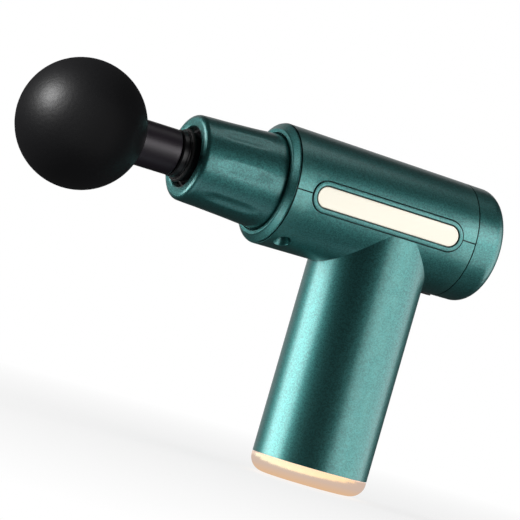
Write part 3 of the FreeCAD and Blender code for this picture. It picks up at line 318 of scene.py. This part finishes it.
def stem_plastic():
    """Moulded black with a faint plum cast and a satin skin."""
    plastic = Finish("stem_plastic", (0.012, 0.009, 0.013), roughness=0.36, specular=0.3)
    plastic.grain(70, colour=0.10, rough=0.04)
    plastic.grain(1500, colour=0.08, rough=0.04, bump=0.000004)
    return plastic.done()


def dark_plastic():
    """Plain structural plastic with an eroded mould texture."""
    plastic = Finish("dark_plastic", (0.03, 0.03, 0.035), roughness=0.5)
    plastic.grain(1200, colour=0.15, rough=0.06, bump=0.00001)
    return plastic.done()


def white_plastic():
    """Off-white moulding that lets a little light in."""
    plastic = Finish("white_plastic", (0.74, 0.73, 0.69), roughness=0.42)
    plastic.grain(90, colour=0.03, rough=0.04)
    plastic.grain(1500, colour=0.02, rough=0.04, bump=0.000006)
    return plastic.done(Subsurface_Weight=0.1, Subsurface_Scale=0.001)


def clear_plastic():
    """Light guide, faintly lit from within."""
    plastic = Finish("clear_plastic", (0.92, 0.96, 0.95), roughness=0.16)
    plastic.grain(700, colour=0.02, rough=0.05, bump=0.000003)
    return plastic.done(Transmission_Weight=0.6, Emission_Color=(0.75, 0.95, 0.9, 1), Emission_Strength=0.15)


def black_rubber():
    """Matt rubber with a dusty grain."""
    rubber = Finish("black_rubber", (0.012, 0.011, 0.011), roughness=0.62)
    rubber.grain(1400, colour=0.2, rough=0.08, bump=0.00001)
    return rubber.done()


def brushed(name, colour, roughness, stretch, scale=900):
    """Metal with fine lines along the axis whose stretch is smallest."""
    metal = Finish(name, colour, metallic=1.0, roughness=roughness)
    metal.grain(scale, colour=0.10, rough=0.07, bump=0.000003, stretch=stretch, detail=4.0)
    metal.grain(120, colour=0.05, rough=0.05)
    return metal.done()


def zinc():
    """Die-cast metal with a coarse skin."""
    metal = Finish("zinc", (0.40, 0.40, 0.42), metallic=1.0, roughness=0.46)
    metal.grain(700, colour=0.12, rough=0.08, bump=0.00002, detail=4.0)
    return metal.done()


def copper_wire():
    """Enamelled wire: fine windings run round each tooth."""
    wire = Finish("copper_wire", (0.62, 0.24, 0.10), metallic=0.9, roughness=0.3)
    turns = wire.add("ShaderNodeTexWave", Vector=wire.coords, Scale=520.0, Distortion=0.6)
    wire.brighten(0.3, turns.outputs["Fac"])
    wire.raise_by(turns.outputs["Fac"], 0.0001)
    wire.grain(600, colour=0.1, rough=0.05)
    return wire.done()


def circuit_board():
    """Green laminate with a faint pattern of tracks under the lacquer."""
    board = Finish("circuit_board", (0.018, 0.13, 0.05), roughness=0.32)
    tracks = board.add("ShaderNodeTexBrick", Vector=board.coords, Scale=420.0)
    tracks.inputs["Color1"].default_value = (0.4, 0.4, 0.4, 1)
    tracks.inputs["Color2"].default_value = (0.6, 0.6, 0.6, 1)
    tracks.inputs["Mortar"].default_value = (0.9, 0.9, 0.9, 1)
    board.brighten(0.2, tracks.outputs["Color"])
    board.grain(800, colour=0.08, rough=0.04, bump=0.000005)
    return board.done(coat=0.4)


def battery_sleeve():
    """Shrink sleeve: smooth, slightly rippled film."""
    sleeve = Finish("battery_sleeve", (0.03, 0.17, 0.42), roughness=0.3)
    sleeve.grain(200, colour=0.06, rough=0.05, bump=0.00001)
    sleeve.grain(1600, colour=0.04, rough=0.04)
    return sleeve.done(coat=0.5, coat_roughness=0.1)


def lead_sleeve():
    """Soft insulation of the leads."""
    sleeve = Finish("lead_sleeve", (0.40, 0.02, 0.02), roughness=0.45)
    sleeve.grain(1500, colour=0.12, rough=0.06, bump=0.000006)
    return sleeve.done()


MATERIALS = {
    "teal_paint": teal_paint(),
    "champagne": champagne(),
    "ivory": ivory(),
    "black_foam": black_foam(),
    "black_plastic": black_plastic(),
    "stem_plastic": stem_plastic(),
    "dark_plastic": dark_plastic(),
    "white_plastic": white_plastic(),
    "clear_plastic": clear_plastic(),
    "black_rubber": black_rubber(),
    "steel": brushed("steel", (0.58, 0.58, 0.59), 0.28, (1, 1, 0.08)),
    "nickel": brushed("nickel", (0.62, 0.59, 0.53), 0.24, (0.1, 1, 1)),
    "laminated_steel": brushed("laminated_steel", (0.32, 0.32, 0.34), 0.38, (0.15, 0.15, 3)),
    "zinc": zinc(),
    "aluminium": brushed("aluminium", (0.74, 0.74, 0.76), 0.4, (0.12, 1, 1), 1200),
    "brass": brushed("brass", (0.72, 0.52, 0.22), 0.3, (1, 1, 0.1)),
    "bush_bronze": brushed("bush_bronze", (0.50, 0.32, 0.16), 0.45, (1, 0.3, 0.3), 1500),
    "copper_wire": copper_wire(),
    "battery_sleeve": battery_sleeve(),
    "circuit_board": circuit_board(),
    "lead_sleeve": lead_sleeve(),
}

SLOT_OF = {s["node"]: s["material_slot"] for s in frame["record"]["subparts"]}
for node_name, node in NODES.items():
    node.data.materials.clear()
    node.data.materials.append(MATERIALS[SLOT_OF[node_name]])


# ---------------------------------------------------------------- mesh helpers
SHARP = math.radians(32)


def rounded(corners, longest=1.6 * MM, steps=5):
    """Closed outline from (a, b, radius) corners: round corners become arcs, and long sides are
    split. A side that lies on the turning axis (b of zero) stays whole."""
    points = []
    count = len(corners)
    for i, (a, b, radius) in enumerate(corners):
        here = np.array([a, b])
        before = np.array(corners[i - 1][:2]) - here
        after = np.array(corners[(i + 1) % count][:2]) - here
        lengths = np.linalg.norm(before), np.linalg.norm(after)
        before, after = before / lengths[0], after / lengths[1]
        half = math.acos(max(-1, min(1, before @ after))) / 2
        if radius <= 0 or abs(half - math.pi / 2) < 0.01:
            points.append(here)
            continue
        reach = min(radius / math.tan(half), 0.49 * min(lengths))
        radius = reach * math.tan(half)
        middle = before + after
        centre = here + middle / np.linalg.norm(middle) * radius / math.sin(half)
        start, end = here + before * reach - centre, here + after * reach - centre
        turn = math.atan2(start[0] * end[1] - start[1] * end[0], start @ end)
        arc_steps = max(steps, int(abs(turn) * radius / longest * 1.5))
        for k in range(arc_steps + 1):
            angle = turn * k / arc_steps
            c, s = math.cos(angle), math.sin(angle)
            points.append(centre + np.array([c * start[0] - s * start[1], s * start[0] + c * start[1]]))
    outline = []
    for i, point in enumerate(points):
        following = points[(i + 1) % len(points)]
        pieces = max(1, int(np.linalg.norm(following - point) / longest))
        if max(point[1], following[1]) < 1e-9:
            pieces = 1
        outline += [point + (following - point) * k / pieces for k in range(pieces)]
    return outline


def lathe(outline, segments=192):
    """Vertices and faces of a closed outline of (x, radius) turned about the barrel's axis."""
    verts, faces, rings = [], [], []
    angles = np.linspace(0, 2 * math.pi, segments, endpoint=False)
    for x, radius in outline:
        start = len(verts)
        if radius < 1e-7:
            verts.append((x, 0, AXIS_Z))
            rings.append([start] * segments)
            continue
        verts += [(x, radius * math.cos(a), AXIS_Z + radius * math.sin(a)) for a in angles]
        rings.append(list(range(start, start + segments)))
    for i, ring in enumerate(rings):
        nxt = rings[(i + 1) % len(rings)]
        if ring[0] == ring[1] and nxt[0] == nxt[1]:
            continue
        for k in range(segments):
            m = (k + 1) % segments
            corners = []
            for v in (ring[k], ring[m], nxt[m], nxt[k]):
                if v not in corners:
                    corners.append(v)
            faces.append(corners)
    return verts, faces


def piece(name, verts, faces, node, body="housing", material=None, sharp=SHARP):
    """A finished object that stands for a CAD node and rides on its body."""
    mesh = bpy.data.meshes.new(name)
    mesh.from_pydata([tuple(v) for v in verts], [], faces)
    bm = bmesh.new()
    bm.from_mesh(mesh)
    bmesh.ops.remove_doubles(bm, verts=bm.verts, dist=2e-6)
    bmesh.ops.dissolve_degenerate(bm, edges=bm.edges, dist=1e-7)
    bmesh.ops.recalc_face_normals(bm, faces=bm.faces)
    bm.to_mesh(mesh)
    bm.free()
    mesh.polygons.foreach_set("use_smooth", [True] * len(mesh.polygons))
    mesh.set_sharp_from_angle(angle=sharp)
    obj = bpy.data.objects.new(name, mesh)
    bpy.context.scene.collection.objects.link(obj)
    slot = SLOT_OF[node]
    mesh.materials.append(MATERIALS[material or slot])
    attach(obj, body)
    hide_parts(node)
    return obj


def turned_piece(name, corners, node, body="housing", segments=192, **more):
    """A piece whose rounded outline is turned about the barrel's axis."""
    verts, faces = lathe(rounded(corners), segments)
    return piece(name, verts, faces, node, body, **more)


def cut_with(obj, cutters):
    """Cuts closed cutter meshes, given as (verts, faces), out of a piece."""
    for verts, faces in cutters:
        mesh = bpy.data.meshes.new("cutter")
        mesh.from_pydata([tuple(v) for v in verts], [], faces)
        bm = bmesh.new()
        bm.from_mesh(mesh)
        bmesh.ops.recalc_face_normals(bm, faces=bm.faces)
        bm.to_mesh(mesh)
        bm.free()
        cutter = bpy.data.objects.new("cutter", mesh)
        bpy.context.scene.collection.objects.link(cutter)
        modifier = obj.modifiers.new("cut", "BOOLEAN")
        modifier.object = cutter
        modifier.solver = "EXACT"
        result = bpy.data.meshes.new_from_object(obj.evaluated_get(bpy.context.evaluated_depsgraph_get()))
        obj.modifiers.clear()
        obj.data = result
        bpy.data.objects.remove(cutter)
        bpy.data.meshes.remove(mesh)
    obj.data.polygons.foreach_set("use_smooth", [True] * len(obj.data.polygons))
    obj.data.set_sharp_from_angle(angle=SHARP)
    return obj


def prism(loop, direction):
    """Closed bar: a flat loop of 3-D points swept along a direction."""
    count = len(loop)
    verts = [Vector(point) for point in loop]
    verts += [v + Vector(direction) for v in verts]
    faces = [list(range(count))[::-1], list(range(count, 2 * count))]
    faces += [[k, (k + 1) % count, count + (k + 1) % count, count + k] for k in range(count)]
    return verts, faces


# ---------------------------------------------------------------- stadium paths on the barrel's side
def stadium_path(x1, x2, half, spacing=0.5 * MM):
    """Points of a round-ended outline and their outward directions: arrays of (x, h) and (nx, nh)."""
    length = x2 - x1 - 2 * half
    straight = max(8, int(length / (2 * spacing))) * 2
    bend = max(24, int(math.pi * half / spacing))
    points, normals = [], []
    for k in range(straight):
        points.append((x1 + half + length * k / straight, half))
        normals.append((0, 1))
    for k in range(bend):
        a = math.pi / 2 - math.pi * k / bend
        points.append((x2 - half + half * math.cos(a), half * math.sin(a)))
        normals.append((math.cos(a), math.sin(a)))
    for k in range(straight):
        points.append((x2 - half - length * k / straight, -half))
        normals.append((0, -1))
    for k in range(bend):
        a = -math.pi / 2 - math.pi * k / bend
        points.append((x1 + half + half * math.cos(a), half * math.sin(a)))
        normals.append((math.cos(a), math.sin(a)))
    return np.array(points), np.array(normals)


def on_barrel(x, h, lift, side):
    """Point beside the barrel axis at x and height h, lift above the barrel's surface."""
    reach = barrel_r(x) + lift
    return (x, side * math.sqrt(max(0.0, reach * reach - h * h)), AXIS_Z + h)


def bezel_mesh(side):
    """Narrow frame with rounded edges that follows the barrel."""
    width, half = BEZEL_WIDTH, BEZEL_HALF - BEZEL_WIDTH
    proud, sunk, edge = 0.3 * MM, -1.1 * MM, 0.14 * MM
    corners = [(0, sunk, 0), (0, proud, edge), (width, proud, edge), (width, sunk, 0)]
    section = rounded(corners, longest=0.5 * MM, steps=4)
    points, normals = stadium_path(BEZEL_X1 + width, BEZEL_X2 - width, half)
    verts, faces = [], []
    rows = len(section)
    for (x, h), (nx, nh) in zip(points, normals):
        verts += [on_barrel(x + nx * w, h + nh * w, lift, side) for w, lift in section]
    count = len(points)
    for i in range(count):
        j = (i + 1) % count
        for k in range(rows):
            m = (k + 1) % rows
            faces.append([i * rows + k, i * rows + m, j * rows + m, j * rows + k])
    return verts, faces


def strip_mesh(side):
    """Smooth insert: rounded at its edge, following the barrel, closed underneath."""
    edge, top, under = 0.3 * MM, 0.1 * MM, -1.05 * MM
    turns = np.linspace(0.25, math.pi / 2, 6)
    inward = np.linspace(edge * 2, STRIP_HALF, 7)
    rows = [(0, under), (0, top - edge)]
    rows += [(edge * (1 - math.cos(a)), top - edge + edge * math.sin(a)) for a in turns]
    rows += [(w, top) for w in inward]
    rows += [(w, under) for w in inward[::-1]]
    points, normals = stadium_path(STRIP_X1, STRIP_X2, STRIP_HALF)
    verts, faces = [], []
    for w, lift in rows:
        verts += [on_barrel(x - nx * w, h - nh * w, lift, side) for (x, h), (nx, nh) in zip(points, normals)]
    count = len(points)
    for r in range(len(rows)):
        nxt = (r + 1) % len(rows)
        if rows[r][0] == rows[nxt][0] == STRIP_HALF:
            continue
        for i in range(count):
            j = (i + 1) % count
            faces.append([r * count + i, r * count + j, nxt * count + j, nxt * count + i])
    return verts, faces


# ---------------------------------------------------------------- visible pieces
def foam_skin(point):
    """Moves a point of the ball's outside a little, mostly inwards, by noise of two grain sizes."""
    coarse, fine, height = 1.1 * MM, 0.6 * MM, 0.022 * MM
    out = point - Vector((BALL_X, 0, AXIS_Z))
    if out.length < BALL_R - 0.1 * MM:
        return point
    pebble = noise.noise(point / coarse) + 0.6 * noise.noise(point / fine)
    return point + out.normalized() * (pebble - 1.0) * height


def ball_arc(radius, start, end, steps):
    """Outline points round the ball's centre, after the start angle and up to the end angle."""
    angles = np.linspace(start, end, steps + 1)[1:]
    return [(BALL_X + radius * math.cos(a), radius * math.sin(a)) for a in angles]


def massage_ball():
    """Foam ball with a pebbled skin, a round hole for the stem and a hollow for the core."""
    stem_gap, core_gap = 0.12 * MM, 0.15 * MM
    rim_turn, rim_depth, rim_length = 0.012, 0.2 * MM, 0.25 * MM
    hole = STEM_R + stem_gap
    hollow = BALL_X - low("ball_core", "x") + core_gap
    mouth = math.asin(hole / BALL_R)
    rim_x = BALL_X + BALL_R * math.cos(mouth) - rim_depth
    hole_end = BALL_X + math.sqrt(hollow * hollow - hole * hole)
    outline = [(BALL_X - BALL_R, 0.0)]
    outline += ball_arc(BALL_R, math.pi, mouth + rim_turn, 170)
    outline += [(rim_x, hole + stem_gap)]
    outline += [(x, hole) for x in np.linspace(rim_x - rim_length, hole_end, 12)]
    outline += ball_arc(hollow, math.asin(hole / hollow), math.pi, 60)[:-1]
    outline += [(BALL_X - hollow, 0.0)]
    verts, faces = lathe(outline, segments=360)
    verts = [foam_skin(Vector(v)) for v in verts]
    return piece("massage_ball_foam", verts, faces, "massage_ball", "head", sharp=math.radians(50))


def ring_centres():
    """Places of the stem's O-rings along the axis, told apart by the gap between them."""
    least_gap = 0.5 * MM
    xs = sorted(v.co.x for v in NODES["stem_o_rings"].data.vertices)
    spans = [[xs[0], xs[0]]]
    for x in xs:
        if x - spans[-1][1] > least_gap:
            spans.append([x, x])
        spans[-1][1] = x
    return [(first + last) / 2 for first, last in spans]


def head_stem():
    """Moulded stem: a spigot in the ball's core, the smooth neck, and the grooved shank that plugs in."""
    x1, x2 = low("head_stem", "x"), high("head_stem", "x")
    neck_x1 = high("ball_core", "x") + 0.1 * MM
    spigot_r, shank_r = 5.0 * MM, 5.95 * MM
    groove_r, groove_half, break_r = 4.4 * MM, 0.85 * MM, 0.1 * MM
    grooves = ring_centres()
    shoulder = grooves[0] - 4.0 * MM
    corners = [
        (x1, 0, 0), (x1, spigot_r, 0.5 * MM), (neck_x1, spigot_r, 0),
        (neck_x1, STEM_R, 0.3 * MM), (shoulder, STEM_R, 0.6 * MM), (shoulder, shank_r, 0.3 * MM),
    ]
    for x in grooves:
        corners += [(x - groove_half, shank_r, break_r), (x - groove_half, groove_r, break_r)]
        corners += [(x + groove_half, groove_r, break_r), (x + groove_half, shank_r, break_r)]
    corners += [(x2, shank_r, 1.0 * MM), (x2, 0, 0)]
    return turned_piece("stem_neck", corners, "head_stem", "head", segments=160, material="stem_plastic")


# ---------------------------------------------------------------- nose
NOSE_BASE_X = RING_X1 - 0.9 * MM
NOSE_R1, NOSE_R2 = 15.7 * MM, 17.6 * MM                 # at the lip and at the ring
MOUTH_R = 11.0 * MM
FLUTES = 8
FLUTE_X = -66.0 * MM                                    # middle of each flute
FLUTE_DEPTH = 0.38 * MM
FLUTE_HALF_LENGTH = 12.0 * MM
FLUTE_HALF_WIDTH = 3.0 * MM
FLUTE_STRAIGHT = 0.35                                   # share of the length that keeps its full depth


def flute_depth(x, angle):
    """Soft round-ended hollow: deepest along its middle line, fading out with no edge."""
    pitch = 2 * math.pi / FLUTES
    across = abs((angle + pitch / 2) % pitch - pitch / 2) * (NOSE_R1 + NOSE_R2) / 2
    beyond = max(0.0, abs(x - FLUTE_X) / FLUTE_HALF_LENGTH - FLUTE_STRAIGHT) / (1 - FLUTE_STRAIGHT)
    reach = math.hypot(across / FLUTE_HALF_WIDTH, beyond)
    return FLUTE_DEPTH * max(0.0, 1 - reach * reach) ** 2


def well_cutters():
    """Upright bars that clear the two screw wells, from below the barrel up to its axis."""
    radius, depth = 5.0 * MM, 25 * MM
    turns = np.linspace(0, 2 * math.pi, 64, endpoint=False)
    cutters = []
    for y in (-WELL_Y, WELL_Y):
        loop = [(WELL_X + radius * math.cos(a), y + radius * math.sin(a), AXIS_Z - depth) for a in turns]
        cutters.append(prism(loop, (0, 0, depth)))
    return cutters


def nose_sleeve():
    """Tapered sleeve with a rounded lip, soft flutes round it and a flange behind the ring."""
    back_x, flange_r = high("nose_sleeve", "x"), high("nose_sleeve", "y")
    flange_x = back_x - 1.5 * MM
    seat_x, seat_r, seat_length = NOSE_X1 + 2.6 * MM, 13.3 * MM, 4.6 * MM
    inner_r = NOSE_R2 - WALL
    corners = [
        (back_x, flange_r, 0.2 * MM), (flange_x, flange_r, 0.2 * MM), (flange_x, NOSE_R2, 0.2 * MM),
        (NOSE_BASE_X, NOSE_R2, 0), (NOSE_X1, NOSE_R1, 2.2 * MM), (NOSE_X1, MOUTH_R, 1.0 * MM),
        (seat_x, MOUTH_R, 0.1 * MM), (seat_x, seat_r, 0), (seat_x + seat_length, seat_r, 0),
        (NOSE_BASE_X, inner_r, 0), (back_x, inner_r, 0.2 * MM),
    ]
    verts, faces = lathe(rounded(corners, longest=0.8 * MM, steps=8), segments=320)
    outer_r, fluted_x = NOSE_R1 - 1.5 * MM, NOSE_X1 + 3 * MM
    shaped = []
    for x, y, z in verts:
        radius = math.hypot(y, z - AXIS_Z)
        if radius > outer_r and fluted_x < x < NOSE_BASE_X:
            scale = 1 - flute_depth(x, math.atan2(z - AXIS_Z, y)) / radius
            y, z = y * scale, AXIS_Z + (z - AXIS_Z) * scale
        shaped.append((x, y, z))
    sleeve = piece("nose_cone", shaped, faces, "nose_sleeve")
    return cut_with(sleeve, well_cutters())


def front_ring():
    """Ring that closes the front of both shells: a crowned bevel, a fine chamfer and a flat face."""
    back, bore = SHELL_X1 - SEAM, NOSE_R2 + 0.7 * MM
    spigot_r = BARREL_R1 - WALL - 0.2 * MM
    face_r = BARREL_R1 - 2.75 * MM
    rim, chamfer = 0.35 * MM, 0.25 * MM
    corners = [
        (back, BARREL_R1 - 0.15 * MM, 0.2 * MM), (back - rim, BARREL_R1 - 0.3 * MM, 0.5 * MM),
        (RING_X1 + rim, face_r + chamfer, 0.25 * MM), (RING_X1, face_r, 0.2 * MM),
        (RING_X1, bore, 0.25 * MM), (RING_X2, bore, 0.1 * MM),
        (RING_X2, spigot_r, 0.2 * MM), (back, spigot_r, 0),
    ]
    verts, faces = lathe(rounded(corners, longest=0.5 * MM, steps=6), segments=320)
    return piece("nose_ring", verts, faces, "front_ring", sharp=math.radians(40))


def mouth_ring():
    """Glossy ring set back in the mouth."""
    x1, x2 = low("mouth_bush", "x"), high("mouth_bush", "x")
    outer, inner = high("mouth_bush", "y"), high("plunger", "y") + 0.2 * MM
    lead_in = 0.9 * MM
    corners = [
        (x1, outer, 0.1 * MM), (x1, inner + lead_in, 0.3 * MM), (x1 + lead_in, inner, 0.4 * MM),
        (x2, inner, 0.2 * MM), (x2, outer, 0.1 * MM),
    ]
    return turned_piece("mouth_ring", corners, "mouth_bush", segments=256)


def frames_and_inserts():
    """The strip and its frame, on both sides of the barrel."""
    for side, word in ((-1, "left"), (1, "right")):
        verts, faces = bezel_mesh(side)
        piece(word + "_side_frame", verts, faces, word + "_bezel")
        verts, faces = strip_mesh(side)
        piece(word + "_side_insert", verts, faces, word + "_strip", sharp=math.radians(60))


BALL = [massage_ball()]
STEM = [head_stem()]
BASE = [NODES["bottom_cap"]]
CROWN = [NODES["upper_shell"], NODES["rear_cap"]]
nose_sleeve()
front_ring()
mouth_ring()
frames_and_inserts()


# ---------------------------------------------------------------- camera
YAW, PITCH, ROLL = math.radians(26.32), math.radians(-1.36), math.radians(16.10)
CAMERA_PLACE = Vector((-0.5460, -1.0179, 0.0464))
LENS, SENSOR = 217.9, 36.0                              # millimetres, as Blender counts them
SHIFT_X, SHIFT_Y = -0.0008, 0.0019                      # the picture's middle, in frame widths


def camera():
    """Long lens, set round towards the head and a little low, and rolled."""
    data = bpy.data.cameras.new("camera")
    data.lens, data.sensor_width = LENS, SENSOR
    data.clip_start, data.clip_end = 0.05, 20.0
    data.shift_x, data.shift_y = SHIFT_X, SHIFT_Y
    cam = bpy.data.objects.new("camera", data)
    bpy.context.scene.collection.objects.link(cam)
    level = math.cos(PITCH)
    back = Vector((-math.sin(YAW) * level, -math.cos(YAW) * level, math.sin(PITCH)))
    right = (-back).cross(Vector((0, 0, 1))).normalized()
    up = right.cross(-back)
    tilted_right = math.cos(ROLL) * right + math.sin(ROLL) * up
    tilted_up = -math.sin(ROLL) * right + math.cos(ROLL) * up
    turn = Matrix((tilted_right, tilted_up, back)).transposed().to_4x4()
    cam.matrix_world = Matrix.Translation(CAMERA_PLACE) @ turn
    bpy.context.scene.camera = cam


# ---------------------------------------------------------------- lights
def softbox(name, azimuth, height, distance, width, tall, power, aim=(0, 0, 0.08), tint=(1, 1, 1)):
    """Area light; azimuth 0 is the -Y side, and it grows towards +X."""
    data = bpy.data.lights.new(name, "AREA")
    data.shape, data.size, data.size_y = "RECTANGLE", width, tall
    data.energy, data.color = power, tint
    lamp = bpy.data.objects.new(name, data)
    bpy.context.scene.collection.objects.link(lamp)
    a = math.radians(azimuth)
    lamp.location = Vector((math.sin(a) * distance, -math.cos(a) * distance, height))
    lamp.rotation_euler = (lamp.location - Vector(aim)).to_track_quat("Z", "Y").to_euler()
    return lamp


def only_for(pieces, lamp):
    """The lamp lights these pieces and nothing else."""
    group = bpy.data.collections.new(lamp.name + "_takes")
    for obj in pieces:
        group.objects.link(obj)
    lamp.light_linking.receiver_collection = group


def leave_out(pieces, *lamps):
    """The lamps of these names light everything but the pieces."""
    for name in lamps:
        group = bpy.data.collections.new(name + "_skips")
        for obj in pieces:
            group.objects.link(obj)
        for link in group.collection_objects:
            link.light_linking.link_state = "EXCLUDE"
        bpy.data.objects[name].light_linking.receiver_collection = group


def base_crescent():
    """A fan of cards for the base cap alone, cream on the left and gold on the right. They are
    tallest a little left of the camera, so that the cap mirrors them as a crescent."""
    count, step, first = 10, 24, -150
    tallest_at, top_edge, width = -45, 0.12, 0.35
    for k in range(count):
        turn = first + step * k
        gold = k / (count - 1)
        tall = 0.16 + 0.46 * max(0.0, math.cos(math.radians(0.8 * (turn - tallest_at))))
        tint = (0.62 + 0.16 * gold, 0.95 - 0.35 * gold, 0.82 - 0.65 * gold)
        place = (turn, top_edge - tall / 2, 0.8)
        only_for(BASE, softbox("base_card_%d" % k, *place, width, tall, 1.25 * tall, (0, 0, 0), tint))


def lights():
    """Each softbox: name, azimuth, height, distance, width, tallness, watts."""
    softbox("left_tall", -113, 0.10, 0.9, 0.72, 1.0, 12)
    softbox("right_low", 18, 0.07, 1.1, 0.46, 0.72, 2.0)
    softbox("right_broad", 64, 0.05, 1.1, 1.62, 1.3, 11.0)
    softbox("top", 80, 1.0, 0.20, 0.40, 0.5, 0.58)
    softbox("cap_side", 40, 0.25, 0.34, 0.12, 0.16, 0.15, aim=(0.03, -0.02, 0.11))
    softbox("back", 170, 0.4, 1.2, 1.4, 1.0, 1.4)
    softbox("below", -20, -1.0, 0.5, 1.2, 0.9, 2.9, tint=(0.85, 0.96, 1.0))
    leave_out(BALL + BASE, "right_broad", "right_low", "top", "below")
    leave_out(BALL + BASE + CROWN, "left_tall")
    leave_out(BALL, "back", "cap_side")
    only_for(BALL, softbox("ball_spot", -93, 0.47, 0.9, 0.30, 0.30, 11.5, aim=(-0.12, 0, 0.10)))
    only_for(BALL, softbox("ball_fill", 0, 0.1, 1.5, 3.0, 3.0, 7))
    base_crescent()
    only_for(STEM, softbox("stem_spot", 29, 0.28, 1.0, 0.5, 0.5, 4.0, tint=(1.0, 0.93, 1.0)))


# ---------------------------------------------------------------- floor and sky
def camera_sees(tree, seen, unseen, output):
    """Joins to the output one shader that the camera sees and one that lights and reflections meet."""
    path = tree.nodes.new("ShaderNodeLightPath")
    both = tree.nodes.new("ShaderNodeMixShader")
    tree.links.new(path.outputs["Is Camera Ray"], both.inputs[0])
    tree.links.new(unseen, both.inputs[1])
    tree.links.new(seen, both.inputs[2])
    tree.links.new(both.outputs[0], tree.nodes[output].inputs["Surface"])


def floor_finish():
    """Pale matt floor: clearly there under the object, fading into white further out."""
    fade_start, fade_end, least_white = 0.05, 0.45, 0.8
    pale = Finish("floor_pale", (0.86, 0.86, 0.86), roughness=0.8)
    pale.grain(4, colour=0.01, rough=0.02)
    pale.done()
    away = pale.add("ShaderNodeVectorMath")
    away.operation = "LENGTH"
    pale.feed(away.inputs[0], pale.coords)
    fade = pale.ramp(away.outputs["Value"], fade_start, fade_end)
    white = pale.add("ShaderNodeEmission", Color=(1, 1, 1, 1), Strength=1.0)
    near = pale.add("ShaderNodeMixShader")
    pale.feed(near.inputs[0], pale.math("MULTIPLY_ADD", fade, 1 - least_white, least_white))
    pale.feed(near.inputs[1], pale.bsdf.outputs[0])
    pale.feed(near.inputs[2], white.outputs[0])
    dim = pale.add("ShaderNodeBsdfDiffuse", Color=(0.20, 0.20, 0.20, 1))
    camera_sees(pale.tree, near.outputs[0], dim.outputs[0], "Material Output")
    return pale.mat


def studio_floor():
    """Wide floor just under the object; it casts no shadow, and bounces and reflections miss it."""
    size, drop = 8.0, 0.5 * MM
    z = cad_box[0].z - drop
    corners = [(-size, -size, z), (size, -size, z), (size, size, z), (-size, size, z)]
    mesh = bpy.data.meshes.new("floor")
    mesh.from_pydata(corners, [], [(0, 1, 2, 3)])
    mesh.materials.append(floor_finish())
    floor = bpy.data.objects.new("floor", mesh)
    bpy.context.scene.collection.objects.link(floor)
    floor.visible_diffuse = floor.visible_glossy = floor.visible_shadow = False


def studio_sky():
    """White behind the object, and almost dark for everything that mirrors it."""
    world = bpy.data.worlds.new("studio")
    bpy.context.scene.world = world
    world.use_nodes = True
    tree = world.node_tree
    dim = tree.nodes["Background"]
    dim.inputs["Color"].default_value = (1, 1, 1, 1)
    dim.inputs["Strength"].default_value = 0.03
    white = tree.nodes.new("ShaderNodeBackground")
    white.inputs["Color"].default_value = (1, 1, 1, 1)
    camera_sees(tree, white.outputs[0], dim.outputs[0], "World Output")


camera()
studio_floor()
studio_sky()
lights()
bpy.context.scene.view_settings.view_transform = "Standard"
